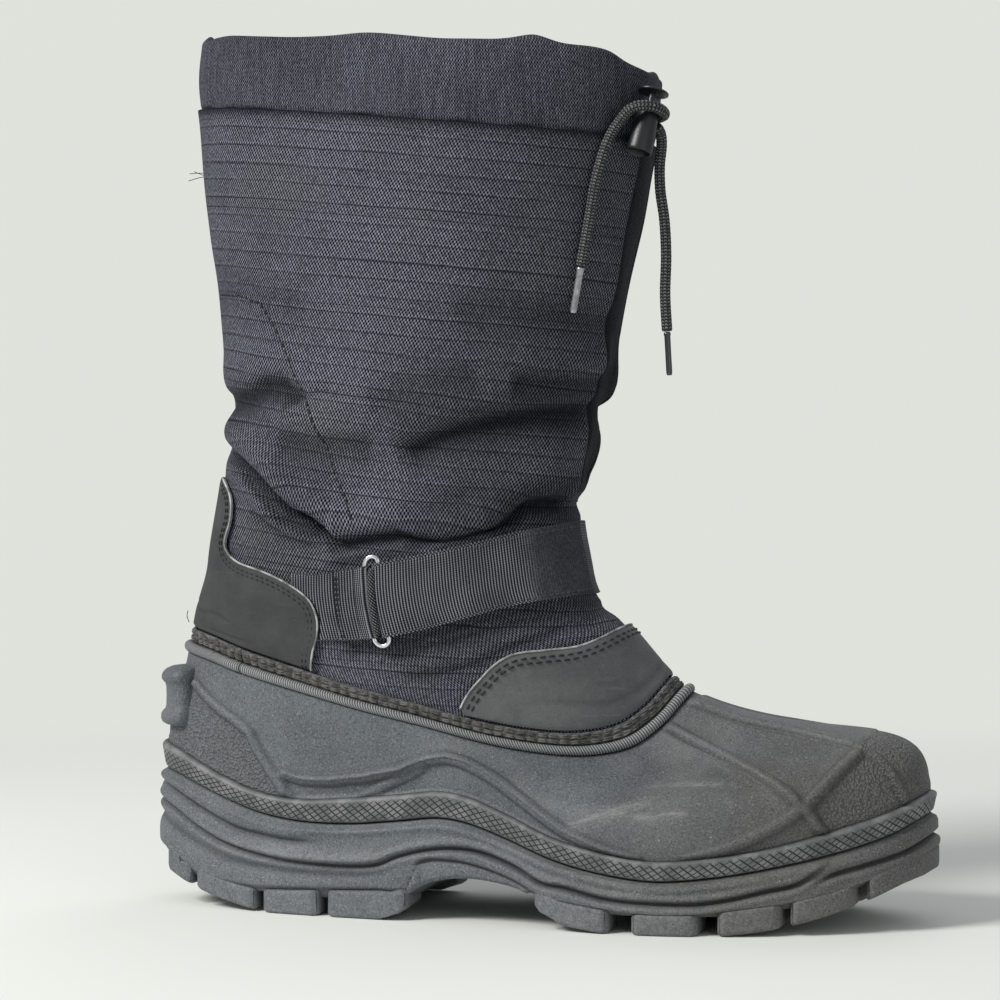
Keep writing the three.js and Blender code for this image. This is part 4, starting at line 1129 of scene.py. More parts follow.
# ---------------------------------------------------------------- shell
def shell_line(places, mirror=False):
    """Points on the shell through given (turn, up) places."""
    turn, up = spaced(places, 60)
    return shell_point((-turn if mirror else turn) * math.pi, up)


def distance_to(points, line):
    """Distance of every point to a line of points."""
    flat = points.reshape(-1, 3)
    best = np.full(len(flat), 1e9)
    for a, b in zip(line[:-1], line[1:]):
        d = b - a
        u = np.clip(((flat - a) @ d) / max(d @ d, 1e-9), 0, 1)
        best = np.minimum(best, ((flat - a - u[:, None] * d) ** 2).sum(1))
    return np.sqrt(best).reshape(points.shape[:-1])


def inside_area(turn, up, area):
    """Which (turn, up) places lie inside a polygon of such places."""
    inside = np.zeros(np.broadcast(turn, up).shape, bool)
    area = np.array(area, float)
    for (x0, y0), (x1, y1) in zip(area, np.roll(area, -1, 0)):
        if abs(y1 - y0) < 1e-9:
            continue
        crossing = (up > min(y0, y1)) & (up <= max(y0, y1))
        inside ^= crossing & (turn < x0 + (up - y0) * (x1 - x0) / (y1 - y0))
    return inside


SWOOSH = [(0.296, 0.162), (0.312, 0.137), (0.344, 0.137), (0.379, 0.175), (0.411, 0.25), (0.436, 0.42),
          (0.458, 0.55), (0.477, 0.55), (0.497, 0.43), (0.512, 0.27), (0.532, 0.15), (0.551, 0.075),
          (0.579, 0.03), (0.61, 0.0)]
RIDGES = [
    # places, width, height
    ([(0.125, 0.74), (0.17, 0.63), (0.22, 0.538), (0.245, 0.463), (0.258, 0.325), (0.277, 0.175),
      (0.293, 0.062), (0.3, 0.0)], 2.1, 1.9),
    (SWOOSH, 2.1, 2.3),
    ([(0.376, 0.0), (0.395, 0.088), (0.417, 0.188), (0.43, 0.3)], 2.0, 1.2),
    ([(0.824, 0.985), (0.81, 0.85), (0.795, 0.737), (0.776, 0.6), (0.763, 0.463), (0.758, 0.31),
      (0.762, 0.175), (0.774, 0.05), (0.782, 0.0)], 2.1, 2.6),
    ([(0.93, 0.985), (0.926, 0.85), (0.92, 0.712), (0.9, 0.55), (0.889, 0.388), (0.884, 0.238),
      (0.888, 0.112), (0.904, 0.0)], 1.9, 2.2),
    ([(0.884, 0.37), (0.86, 0.345), (0.834, 0.313), (0.808, 0.26), (0.783, 0.2), (0.764, 0.15),
      (0.742, 0.112), (0.707, 0.062), (0.653, 0.0)], 2.2, 2.1),
]
CREASES = [
    ([(0.637, 0.363), (0.672, 0.35), (0.703, 0.325)], 2.0, -0.6),
    ([(0.678, 0.687), (0.703, 0.575), (0.729, 0.475)], 2.4, -0.6),
    ([(0.56, 0.5), (0.62, 0.56), (0.7, 0.7)], 5.0, -0.7),
]
SCUFFS = [
    ([(0.56, 0.15), (0.589, 0.3), (0.633, 0.425)], 2.6),
    ([(0.672, 0.65), (0.729, 0.538)], 1.8),
    ([(0.62, 0.3), (0.66, 0.3)], 1.6),
]
HEEL_PEBBLES = [(-0.02, 0.0), (-0.02, 0.72), (0.12, 0.71), (0.17, 0.6), (0.22, 0.51), (0.243, 0.44),
                (0.256, 0.31), (0.272, 0.17), (0.29, 0.0)]
TOE_PEBBLES = [(0.785, 0.0), (0.775, 0.06), (0.77, 0.17), (0.8, 0.235), (0.834, 0.29), (0.876, 0.35),
               (0.9, 0.42), (1.02, 0.45), (1.02, 0.0)]


def pebbled(turn, up):
    """Where the shell is pebbled, with a soft edge."""
    pebble = (inside_area(turn, up, HEEL_PEBBLES) | inside_area(turn, up, TOE_PEBBLES)).astype(float)
    for _ in range(2):
        pebble = (pebble + np.roll(pebble, 1, 1) + np.roll(pebble, -1, 1)) / 3
    return pebble


def make_shell():
    around, rows = 880, 100
    angle = angles(around)
    ups = np.linspace(0, 1, rows)
    outside = shell_point(angle[None], ups[:, None])
    turn, up = np.broadcast_arrays(np.where(angle <= math.pi, angle, TAU - angle) / math.pi, ups[:, None])
    rise, hollow_shade, scuff = (np.zeros((rows, around)) for _ in range(3))
    for places, width, height in RIDGES:
        for mirror in (False, True):
            away = distance_to(outside, shell_line(places, mirror))
            crown = np.clip(1 - (away / (width * 1.25)) ** 2, 0, 1) ** 0.75
            rise = np.maximum(rise, height * crown + 0.3 * height * bell(away, width * 2.2))
            # painted shade in a thin line beside each ridge's foot
            hollow_shade += 0.45 * bell(away - width * 1.35, width * 0.3)
    for places, width, height in CREASES:
        for mirror in (False, True):
            rise += height * bell(distance_to(outside, shell_line(places, mirror)), width)
    for places, width in SCUFFS:
        scuff = np.maximum(scuff, bell(distance_to(outside, shell_line(places)), width))
    pebble = pebbled(turn, up)
    below = up < np.interp(turn, *np.transpose(SWOOSH), left=0, right=0)
    rise = rise - 0.9 * below * (1 - pebble)
    rise = rise * step(up, 0.0, 0.03) * (1 - step(up, 0.97, 1.0))
    rise = rise - 0.5 * pebble * step(up, 0.02, 0.06)
    outside = outside + grid_normals(outside) * rise[..., None]
    inside = shell_point(angle[None], np.linspace(1, 0, 9)[:, None])
    inside = inside - grid_normals(inside[::-1])[::-1] * SHELL_WALL
    inside[0] = on_shaft(rim_angle(angle), np.zeros(around), EDGE_OFFSET - SHELL_WALL)
    values = {"pebble": pebble, "scuff": scuff, "hollow_shade": np.clip(hollow_shade, 0, 0.4)}
    values = {key: np.pad(value, ((0, len(inside)), (0, 0))) for key, value in values.items()}
    build = Build()
    build.grid(np.concatenate([outside, inside]), over=True, values=values)
    add_ledge(build)
    make_piece("shell_look", build, SHELL_PAINT, "shell")


# share of the height, how far it stands out, and how much shade is painted there
BAND_SECTION = np.array([
    (0.0, 0.0, 1.0), (0.03, 0.6, 0.7), (0.07, 1.0, 0.15), (0.14, 1.3, 0), (0.26, 1.55, 0), (0.4, 1.8, 0),
    (0.54, 2.05, 0), (0.66, 2.3, 0), (0.76, 2.5, 0), (0.84, 2.5, 0), (0.9, 2.2, 0), (0.95, 1.6, 0.05),
    (0.98, 0.8, 0.5), (1.0, -0.3, 1.0),
])


def make_band():
    """The knurled band round the foot of the shell, between a sunk edge and a smooth lip."""
    angle = angles(900)
    t = sole_share(angle)
    low, high = parting_z(t) + 0.4, band_z(t) + 0.3
    share, grow, hollow_shade = BAND_SECTION.T
    rings = [sole_point(angle, g, lerp(low, high, s)) for s, g in zip(share, grow)]
    rings += [sole_point(angle, -1.5, high - 0.2), sole_point(angle, -1.5, low + 0.2)]
    raised = step(share, 0.05, 0.1) * (1 - step(share, 0.62, 0.86))
    values = {"raised": raised, "hollow_shade": hollow_shade}
    values = {key: np.repeat([*value, 0, 0], len(angle)) for key, value in values.items()}
    build = Build()
    build.grid(np.array(rings), arc_places(np.array(rings)), over=True, values=values)
    make_piece("shell_band_look", build, BAND_PAINT)


def add_ledge(build):
    """The ledge round the back of the heel: two rounded flanges and a web."""
    section = np.array([
        (12, 99), (5, 98.6), (1.5, 98.2), (-0.8, 97.2), (-2.2, 95.8), (-2.8, 94.2), (-2.7, 93),
        (-2.0, 92), (-1.2, 91.2), (-0.8, 89.5), (-0.7, 86), (-0.8, 82), (-1.2, 80.4), (-2.1, 79.6),
        (-2.9, 78.4), (-3.0, 76.4), (-2.5, 75), (-1.0, 74), (1.5, 73.3), (6, 73), (12, 73),
    ])
    x, height = section[:, :1], section[:, 1:]
    centre, core = 24.0, 14.0
    turn = np.radians(np.linspace(-68, 68, 90))
    rounding = np.sqrt(np.clip(1 - (np.abs(turn) / math.radians(68.5)) ** 14, 0, 1))
    radius = core + (centre - x - core) * rounding
    z = height.mean() + (height - height.mean()) * (0.9 + 0.1 * rounding)
    points = stacked(centre - radius * np.cos(turn), radius * np.sin(turn), z)
    build.grid(points, around=False, over=True, flip=True)


make_shell()
make_band()

# ---------------------------------------------------------------- edge strip
# distance up the shaft from the rim, distance off its surface, and how much shade is painted there
STRIP_SECTION = [
    (0.3, 0.75, 0), (5, 0.75, 0), (10.1, 0.8, 0.6), (10.4, 1.2, 0.3), (10.3, 1.8, 0), (9.8, 2.1, 0),
    (8.8, 2.15, 0), (7.6, 2.05, 0.25), (6.4, 2.15, 0), (5.5, 2.1, 0), (4.95, 1.75, 0.8),
    (4.6, 1.9, 0.9), (4.5, 2.5, 0.3), (4.45, 3.2, 0), (4.2, 3.95, 0), (3.7, 4.6, 0), (2.95, 5, 0),
    (2.05, 5.05, 0), (1.25, 4.75, 0), (0.65, 4.1, 0.1), (0.35, 3.4, 0.4), (0.3, 2.6, 0.9),
]
STRIP_JOINT = 0.155  # how far forward the butt joint is
STRIP_FACE = 1.5  # from here outward the strip shows


def rim_level(angle, distance):
    """The level at a distance up from the rim, for many angles."""
    coarse = np.linspace(-math.pi, math.pi, 361)
    return np.interp(angle, coarse, level_above(coarse, distance))


def make_strip():
    """The strip round the shell's edge, with a butt joint on the outer side near the heel."""
    around = 1500
    angle = rim_angle(angles(around))
    line = shaft_point(angle, np.zeros(around))
    walked = walked_along(np.concatenate([line, line[:1]]))
    at = walked[:-1]
    t = along_of(angle)
    joint = bell(at - np.interp(STRIP_JOINT, t[:around // 2], at[:around // 2]), 0.5)
    heel = 1 - step(t, 0.1, 0.2)
    rings, flange, hollow_shade = [], [], []
    for s, n, dark in STRIP_SECTION:
        on_bead = float(step(n, 2.3, 3.0))
        ragged = 0.16 * np.sin(at * 0.9) * np.sin(at * 0.37) * (1 - on_bead) * (n > 1)
        seam = joint * (n > STRIP_FACE)
        rings.append(on_shaft(angle, rim_level(angle, s), n + 0.2 * heel * on_bead + ragged - 0.5 * seam))
        flange.append(np.full(around, 1 - on_bead))
        # painted shade in the tucks, and in the sunk butt joint
        hollow_shade.append(np.clip(dark + seam, 0, 1))
    build = Build()
    values = {"flange": flange, "hollow_shade": hollow_shade,
              "ribbed": np.tile(step(t, 0.1, 0.125), len(STRIP_SECTION))}
    places = stacked(walked[None], np.array(STRIP_SECTION)[:, :1])
    build.grid(np.array(rings), places, over=True, flip=True, values=values)
    make_piece("edge_strip_look", build, TAPE_PAINT, "edge_strip")
    seams = Build()
    for index, (s, n) in enumerate(((5.75, 2.15), (6.6, 2.15), (8.35, 2.15), (9.25, 2.1))):
        fine = rim_angle(angles(1400) + 0.003 * index)
        level = rim_level(fine, s)
        add_stitches(seams, on_shaft(fine, level, n), shaft_normal(fine, level), (3.9, 0.5, 0.85, 0.8),
                     0.1, 0.09)
    make_piece("edge_strip_stitches", seams, SEAM_THREAD)


make_strip()

# ---------------------------------------------------------------- shaft
FOLDS = [
    # places as (turn, level); depth of the crease, its width, and the swell above it
    ([(0.04, 5.8), (0.136, 5.64), (0.213, 5.4), (0.266, 5.16), (0.316, 4.88), (0.358, 4.68), (0.4, 4.6),
      (0.427, 4.48), (0.449, 4.32)], 6.0, 4.6, 4.2),
    ([(0.42, 4.5), (0.449, 4.32), (0.511, 4.4), (0.556, 4.48), (0.591, 4.4), (0.637, 4.36), (0.686, 4.48),
      (0.744, 4.64)], 5.0, 4.6, 3.6),
    ([(0.7, 4.5), (0.744, 4.64), (0.774, 4.84), (0.805, 5.04), (0.877, 5.12), (1.0, 5.12)], 6.5, 5.5, 4.2),
    ([(0.2, 5.2), (0.236, 5.04), (0.297, 4.76), (0.343, 4.52), (0.392, 4.4), (0.434, 4.36)], 2.6, 2.4, 1.4),
    ([(0.25, 4.62), (0.31, 4.42), (0.37, 4.25), (0.43, 4.2)], 1.8, 2.2, 1.0),
    ([(0.0, 6.4), (0.048, 6.44), (0.15, 6.46), (0.224, 6.52), (0.278, 6.68), (0.323, 6.68), (0.354, 6.52),
      (0.365, 6.36)], 4.0, 7.0, 1.6),
    ([(0.53, 5.74), (0.568, 5.88), (0.598, 6.04), (0.644, 6.2), (0.713, 6.36), (0.793, 6.48),
      (0.904, 6.56), (1.0, 6.6)], 5.4, 8.0, 2.6),
    ([(0.48, 6.44), (0.545, 6.64), (0.61, 6.8), (0.679, 6.92)], 2.4, 9.0, 0.8),
    ([(0.72, 6.86), (0.77, 6.84), (0.831, 6.88), (1.0, 6.92)], 3.2, 6.0, 1.4),
    ([(0.3, 5.82), (0.346, 5.8), (0.411, 5.76), (0.465, 5.84), (0.511, 5.84)], 2.6, 7.0, 1.0),
    ([(0.545, 4.62), (0.618, 4.8), (0.69, 5.05), (0.77, 5.25), (0.866, 5.48), (1.0, 5.6)], 2.6, 8.0, 1.0),
    ([(0.6, 7.5), (0.75, 7.45), (1.0, 7.4)], 1.8, 10.0, 0.6),
    ([(0.06, 7.6), (0.2, 7.7), (0.4, 7.4)], 1.4, 12.0, 0.4),
    ([(0.47, 2.05), (0.6, 2.3), (0.72, 2.62), (0.85, 2.75), (1.0, 2.72)], 2.2, 4.0, 1.6),
    ([(0.5, 1.3), (0.6, 1.75), (0.7, 2.2), (0.82, 2.45), (0.95, 2.4)], 1.8, 3.2, 1.0),
]
FAR_FOLDS = [
    ([(1.0, 5.12), (1.15, 5.1), (1.3, 4.75), (1.45, 4.45), (1.6, 4.6), (1.75, 5.1), (1.96, 5.7)],
     5.6, 5.2, 3.8),
    ([(1.0, 6.6), (1.15, 6.5), (1.32, 6.2), (1.45, 5.9)], 4.6, 8.0, 2.2),
    ([(1.99, 6.42), (1.85, 6.45), (1.72, 6.6), (1.62, 6.5)], 3.6, 7.0, 1.4),
    ([(1.25, 6.9), (1.4, 6.75), (1.55, 6.5)], 2.4, 9.0, 0.8),
    ([(1.0, 5.6), (1.2, 5.4), (1.4, 5.0)], 2.4, 9.0, 0.8),
    ([(1.0, 2.72), (1.15, 2.75), (1.3, 2.5), (1.5, 2.1)], 2.0, 4.0, 1.4),
]
SHAFT_AROUND = 380
# the front panel's edges in turns, and the millimetres in a turn there
PANEL_EDGES = (0.945, 1.055)
PANEL_SCALE = 150


def fold_line(places, angle, levels, grid):
    """A fold's line in the grid's own distances round and up the shaft, from back to front."""
    turn, level = spaced(places, 50)
    column = np.interp(turn * math.pi, angle, np.arange(len(angle)))
    line = sample(grid, np.interp(level, levels, np.arange(len(levels))), column)
    return line[::-1] if line[0, 0] > line[-1, 0] else line


def beside_line(grid, line):
    """How far a grid's places lie above a line (below is negative), and how far along it."""
    best = np.full(grid.shape[:2], np.inf)
    signed, along = np.zeros(best.shape), np.zeros(best.shape)
    for i, (a, b) in enumerate(zip(line, line[1:])):
        d, away = b - a, grid - a
        u = np.clip((away @ d) / max(d @ d, 1e-9), 0, 1)
        square = ((away - u[..., None] * d) ** 2).sum(-1)
        side = np.sign(d[0] * away[..., 1] - d[1] * away[..., 0])
        closer = square < best
        best = np.where(closer, square, best)
        signed = np.where(closer, side * np.sqrt(square), signed)
        along = np.where(closer, (i + u) / (len(line) - 1), along)
    return signed, along


def fold_shape(angle, levels):
    """How far the folds push the cloth out and down, and how much shade is painted in them."""
    grid = arc_places(shaft_point(angle[None], levels[:, None]))[:, :-1]
    out, down, dark = (np.zeros(grid.shape[:2]) for _ in range(3))
    for places, depth, width, swell in FOLDS + FAR_FOLDS:
        signed, along = beside_line(grid, fold_line(places, angle, levels, grid))
        fade = step(along, 0, 0.14) * (1 - step(along, 0.86, 1)) * 0.85 + 0.15
        narrow = np.where(signed > 0, width * 0.62, width)
        out += fade * (swell * bell(signed - width * 1.5, width * 1.15) - depth * bell(signed, narrow)
                       + 0.25 * swell * bell(signed + width * 1.8, width * 1.2))
        down += fade * 0.75 * swell * bell(signed - width * 0.8, width * 0.8)
        # painted shade along each crease, wider under its overhang
        reach = np.where(signed > -0.15 * width, narrow * 0.95, width * 1.35)
        dark = np.maximum(dark, fade * min(depth / 4.2, 1) * bell(signed + 0.15 * width, reach))
    return out, down, dark


def held_down(angle, level):
    """Where the strap, the overlays and the strip hold the cloth flat, from 0 to 1."""
    turn, t = angle / math.pi, along_of(angle)
    strap = step(level, strap_low(turn) - 0.25, strap_low(turn) - 0.05) * (
        1 - step(level, strap_high(turn) + 0.02, strap_high(turn) + 0.2)) * between(turn, 0.38, 1.57, 0.03)
    edge = heel_edge(np.minimum(level, 5))
    heel = (1 - step(t, edge - 0.01, edge + 0.02)) * (1 - step(level, 4.9, 5.1))
    top = vamp_edge(t)
    vamp = step(t, 0.6, 0.63) * (1 - step(level, top - 0.05, top + 0.15))
    return np.clip(strap + heel + vamp + (1 - step(level, 1.0, 1.3)), 0, 1)


def shaft_surface(angle, levels):
    """The folded outer surface: its points, how far they moved out, and the shade painted on the cloth."""
    smooth_points = shaft_point(angle[None], levels[:, None])
    out, down, dark = fold_shape(angle, levels)
    ray, level = np.broadcast_arrays(angle, levels[:, None])
    turn = ray / math.pi
    calm = held_down(ray, level)
    out = out + 0.5 * np.sin(turn * 19 + level * 2.3) * np.sin(level * 3.1 + turn * 7) * step(level, 4, 6)
    out = out + 0.8 * step(level, 5.6, 6.4) * (1 - step(level, 8.2, 9))
    out = np.where(out > 4, 4 + (out - 4) * 0.5, out)
    out = out * (1 - calm) + np.clip(out, -0.6, 0.1) * calm
    out = out * (1 - step(level, 8.75, 9)) * step(level, 0.1, 0.5)
    points = smooth_points + grid_normals(smooth_points) * out[..., None]
    points[..., 2] -= down * (1 - calm)
    # painted shade, less where the cloth is held flat, and a painted shadow line under the cuff's hem; then
    # painted shade along the strap's edges
    dark = np.maximum(0.78 * dark * (1 - 0.6 * calm), 0.85 * step(level, 8.93, 8.985))
    strap_shade = bell(level - strap_high(turn) - 0.12, 0.16) + bell(level - strap_low(turn) + 0.15, 0.22)
    dark = np.maximum(dark, 0.55 * strap_shade * between(turn, 0.46, 1.54, 0.04))
    return points, arc_places(smooth_points, from_top=True), out, dark


def panel_seams(turn, level):
    """A ridge outside each edge of the front panel, and the sunk seam inside it."""
    rise = np.zeros(turn.shape)
    for edge in PANEL_EDGES:
        outward = math.copysign(1, edge - 1)
        across = (turn - edge) * PANEL_SCALE
        rise += 0.6 * bell(across - 1.2 * outward, 1.3) - 0.7 * bell(across + 0.9 * outward, 0.8)
    return rise * step(level, 5.4, 5.8) * (1 - step(level, 8.85, 9))


def inner_wall(angle, levels, out):
    """The lining's surface, top row first: it stays behind the deepest folds."""
    rows = np.array([9, 8.6, 8, *np.arange(7.4, 3.9, -0.2), 3.2, 2.4, 1.2, 0])
    points = shaft_point(angle[None], rows[:, None])
    deepest = np.minimum(out, np.minimum(np.roll(out, 4, 0), np.roll(out, -4, 0)))
    row = np.interp(rows, levels, np.arange(len(levels))).astype(int)
    wall = np.maximum(SHAFT_WALL, 2.4 - deepest[row])
    return points - grid_normals(points[::-1])[::-1] * wall[..., None]


def make_shaft():
    angle = angles(SHAFT_AROUND)
    levels = np.concatenate([np.linspace(0, 2.2, 34, endpoint=False),
                             np.linspace(2.2, 7.2, 150, endpoint=False),
                             np.linspace(7.2, SEAM_LEVEL, 48)])
    outside, places, out, dark = shaft_surface(angle, levels)
    turn, level = np.broadcast_arrays(angle / math.pi, levels[:, None])
    outside = outside + grid_normals(outside) * panel_seams(turn, level)[..., None]
    inner = inner_wall(angle, levels, out)
    inner[0, :, 2] = outside[-1, :, 2]
    build = Build()
    # the `fold` attribute carries this painted shade to the cloth's material
    build.grid(outside, places, values={"fold": dark})
    in_panel = (turn > PANEL_EDGES[0]) & (turn < PANEL_EDGES[1]) & (level > 5.3)
    build.slots[0] = in_panel[:-1].astype(int).ravel()
    build.grid(np.concatenate([outside[-1:], inner, outside[:1]]), slot=2)
    make_piece("upper_look", build, [SHAFT_PAINT, PANEL_PAINT, LINING_PAINT], "upper")
    return levels, outside


SHAFT_LEVELS, SHAFT_SURFACE = make_shaft()
CALF_SEAM = [
    (0.083, 7.56), (0.22, 7.53), (0.273, 7.47), (0.31, 7.26), (0.339, 7.02), (0.361, 6.7), (0.381, 6.27),
    (0.415, 5.68), (0.446, 5.12), (0.48, 4.62),
]


def on_cloth(turn, level, offset):
    """Places on the folded shaft surface, with their normals."""
    column = turn / 2 * SHAFT_AROUND % SHAFT_AROUND
    row = np.interp(level, SHAFT_LEVELS, np.arange(len(SHAFT_LEVELS)))
    normal = unit(sample(grid_normals(SHAFT_SURFACE), row, column, around=True))
    return sample(SHAFT_SURFACE, row, column, around=True) + normal * offset, normal


def make_calf_seams():
    build = Build()
    turn, level = spaced(CALF_SEAM, 260)
    for place in (turn, 2 - turn):
        points, normals = on_cloth(place, level, 0.25)
        add_stitches(build, points, normals, (2.4, 1.0, 0.85, 0.6), wobble=0.08)
    make_piece("calf_stitches", build, THREAD)


make_calf_seams()


# ---------------------------------------------------------------- cuff
CUFF_MIDDLE = 112


def cuff_point(angle, up):
    """A point of the cuff's ungathered middle surface, from the seam (0) to the top (1)."""
    t = along_of(angle)
    seam = shaft_point(angle, SEAM_LEVEL)[..., 2] + 0.3
    x = lerp(lerp(17, 17.5, up), lerp(209, 213, up), t)
    y = side_of(angle) * lerp(52.6, 52, up) * ellipse(t, 2.3)
    return stacked(x, y, lerp(seam, cuff_top(t), up))


# turn, rise and width of each pucker
PUCKERS = [
    (0.03, 2, 0.035), (0.13, -1.6, 0.04), (0.33, -0.6, 0.09), (0.47, 1.6, 0.06), (0.6, -0.5, 0.05),
    (0.705, 1.7, 0.03), (0.76, -1, 0.05), (0.9, -1.2, 0.05), (1, 1.5, 0.03), (1.12, -1, 0.05),
    (1.3, 1.5, 0.05), (1.5, -0.8, 0.08), (1.62, 1.3, 0.05), (1.8, -1.2, 0.06), (1.92, 1.2, 0.04),
]


def make_cuff():
    """The drawcord casing: a rolled band, gathered at both edges and lifted at its puckers."""
    angle = angles(640)
    turn = angle / math.pi
    section = [(0.0, -0.4), (0.03, 0.1)]
    section += [(up, 0.1 + 0.9 * math.sin(math.pi * up) ** 0.8) for up in np.linspace(0.06, 0.92, 30)]
    section += [(0.95, 0.1), (0.975, -0.4), (0.992, -1.1), (1.0, -2.0), (0.99, -2.9), (0.96, -3.5),
                (0.9, -3.8), (0.5, -4.0), (0.0, -3.8)]
    rise = sum(height * bell((turn - place + 1) % 2 - 1, width) for place, height, width in PUCKERS)
    rings = []
    for up, offset in section:
        gather = (0.45 * np.sin(turn * 47 + 2 * np.sin(turn * 9)) + 0.3 * np.sin(turn * 83 + 1.3)) * (
            0.15 + 0.85 * abs(2 * up - 1) ** 2) * (up > 0.02)
        wave = 0.45 * np.sin(turn * 8.1 + up * 3) * math.sin(math.pi * up)
        points = cuff_point(angle, up)
        outward = unit(points * [1, 1, 0] - [CUFF_MIDDLE, 0, 0])
        shift = offset + (gather + wave) * (1.0 if offset > -3 else 0.4) - 0.35 * rise * up**3
        points = points + outward * shift[:, None]
        points[:, 2] += rise * up**2.5 * 1.15
        rings.append(points)
    rings = np.array(rings)
    places = arc_places(rings)
    places[..., 0] += 0.25 * places[..., 1]
    build = Build()
    build.grid(rings, places)
    build.grid(rings[[-1, 0]])
    make_piece("collar_cuff_look", build, CUFF_PAINT, "collar_cuff")


make_cuff()

# ---------------------------------------------------------------- overlays
STRIP_TOP = 11.6
SLAB_LOW, SLAB_HIGH = 1.2, 2.4


def add_slab(build, angle, level, bulge, crease):
    """A slab on the shaft over a grid of places, with cut edges in a material of their own."""
    rows, columns = angle.shape
    r = np.minimum(np.arange(rows), np.arange(rows)[::-1])[:, None]
    c = np.minimum(np.arange(columns), np.arange(columns)[::-1])[None]
    from_edge = np.minimum(r, c)
    height = SLAB_HIGH - 0.45 * (from_edge == 0) - 0.12 * (from_edge == 1)
    top = on_shaft(angle, level, height + bulge)
    under = on_shaft(angle, level, SLAB_LOW)
    build.grid(top, around=False, values={"crease": np.broadcast_to(crease, angle.shape)})
    build.grid(under, around=False, flip=True)
    for pair in ((under[0], top[0]), (top[-1], under[-1]), (top[:, 0], under[:, 0]),
                 (under[:, -1], top[:, -1])):
        build.grid(np.stack(pair), around=False, slot=1)


def add_cut_edge(trim, seams, angle, level, inward, insets, stitch, lift):
    """The raw edge along an overlay's outline, and rows of stitches inside it; `inward` is 1 or -1."""
    route = on_shaft(angle, level, 2.25)
    normal = shaft_normal(angle, level)
    into = unit(np.cross(normal, unit(np.gradient(route, axis=0)))) * inward
    trim.grid(tube_points(route - into * 0.1, 0.42, 8), ends=(0, -1))
    for inset in insets:
        add_stitches(seams, route + into * inset, normal, stitch, lift)


def finish_overlay(name, slab, trim, seams, paint):
    make_piece(name + "_look", slab, [paint, RAW_EDGE], name)
    make_piece(name + "_edge", trim, RAW_EDGE)
    make_piece(name + "_stitches", seams, THREAD)


def make_heel_overlay():
    slab, trim, seams = Build(), Build(), Build()
    across = np.linspace(-1, 1, 110)[None]
    up = np.linspace(0, 1, 64)[:, None]
    start = level_above((across * angle_of(heel_edge(1.0)))[0], STRIP_TOP)[None]
    level = lerp(start, 5.0, up)
    angle = across * angle_of(heel_edge(level))
    turn = np.abs(angle) / math.pi
    crease = bell(level - 2.15 - 0.08 * np.sin(turn * 40), 0.07) * step(turn, 0.03, 0.08) * (
        1 - step(turn, 0.2, 0.3))
    crease += 0.8 * bell(level - 1.5 - 0.6 * turn, 0.06) * step(turn, 0.14, 0.2) * (
        1 - step(turn, 0.26, 0.33))
    waist = 0.9 * bell(level - 3.3, 0.75) * (1 - step(turn, 0.05, 0.22))
    add_slab(slab, angle, level, 0.3 * np.sin(level * 2.1 + turn * 9) - 0.65 * crease - waist, crease)
    fine = np.interp(np.linspace(0, 1, 500), up[:, 0], level[:, -1])
    for side in (1, -1):
        add_cut_edge(trim, seams, side * angle_of(heel_edge(fine)), fine, side, (2.4, 4.0),
                     (1.9, 0.9, 0.5, 0.5), 0.1)
    finish_overlay("heel_overlay", slab, trim, seams, HEEL_NUBUCK)


def make_vamp_overlay():
    slab, trim, seams = Build(), Build(), Build()
    first = float(angle_of(0.632))
    angle = np.linspace(first, TAU - first, 150)
    start = level_above(angle, STRIP_TOP)
    end = np.maximum(vamp_edge(along_of(angle)), start + 0.08)
    up = np.linspace(0, 1, 40)[:, None]
    angle, level = np.broadcast_arrays(angle, lerp(start, end, up))
    turn = angle / math.pi
    crease = 0.6 * bell(up - 0.25 - 0.1 * np.sin(turn * 12), 0.05) * step(turn, 0.66, 0.74)
    add_slab(slab, angle, level, 0.2 * np.sin(turn * 13 + up * 3) - 0.25 * crease, crease)
    fine = np.linspace(first, TAU - first, 900)
    top = np.maximum(vamp_edge(along_of(fine)), level_above(fine, STRIP_TOP) + 0.08)
    add_cut_edge(trim, seams, fine, top, -1, (2.6, 4.6), (2.7, 1.1, 0.8, 0.75), 0.15)
    finish_overlay("vamp_overlay", slab, trim, seams, VAMP_NUBUCK)


make_heel_overlay()
make_vamp_overlay()

# ---------------------------------------------------------------- strap, anchor and ring
WEBBING = 1.1
WIRE = 2.2
SURFACE_GAP = 0.8
RING_TURN = 0.514
INNER_LAYER = SURFACE_GAP + WEBBING / 2
OUTER_LAYER = SURFACE_GAP + 1.5 * WEBBING + 0.4
STITCH_LAYER = OUTER_LAYER + WEBBING / 2 + 0.05
FOLD_RADIUS = WIRE / 2 + 0.4 + WEBBING / 2
MM_PER_TURN = 251
BAR_SPREAD = (FOLD_RADIUS + WEBBING / 2 + 0.2) / MM_PER_TURN
BAR_RISE = INNER_LAYER + FOLD_RADIUS


def strap_level(turn, w):
    return lerp(strap_low(turn), strap_high(turn), w)


def on_strap(turn, w, rise):
    """A point at a turn, a share w across the strap's width, and a height off the shaft."""
    return on_shaft(turn * math.pi, strap_level(turn, w), rise)


def fold_round(bar_turn, direction):
    """The path of the webbing round a bar of the ring, as (turn, rise)."""
    share = np.linspace(-0.42, 0.6, 17) * math.pi
    turn = bar_turn - direction * np.cos(share) * FOLD_RADIUS / MM_PER_TURN
    return np.stack([turn, BAR_RISE + np.sin(share) * FOLD_RADIUS], -1)


def run(start, end, count, rise):
    return np.stack([np.linspace(start, end, count), np.full(count, rise)], -1)


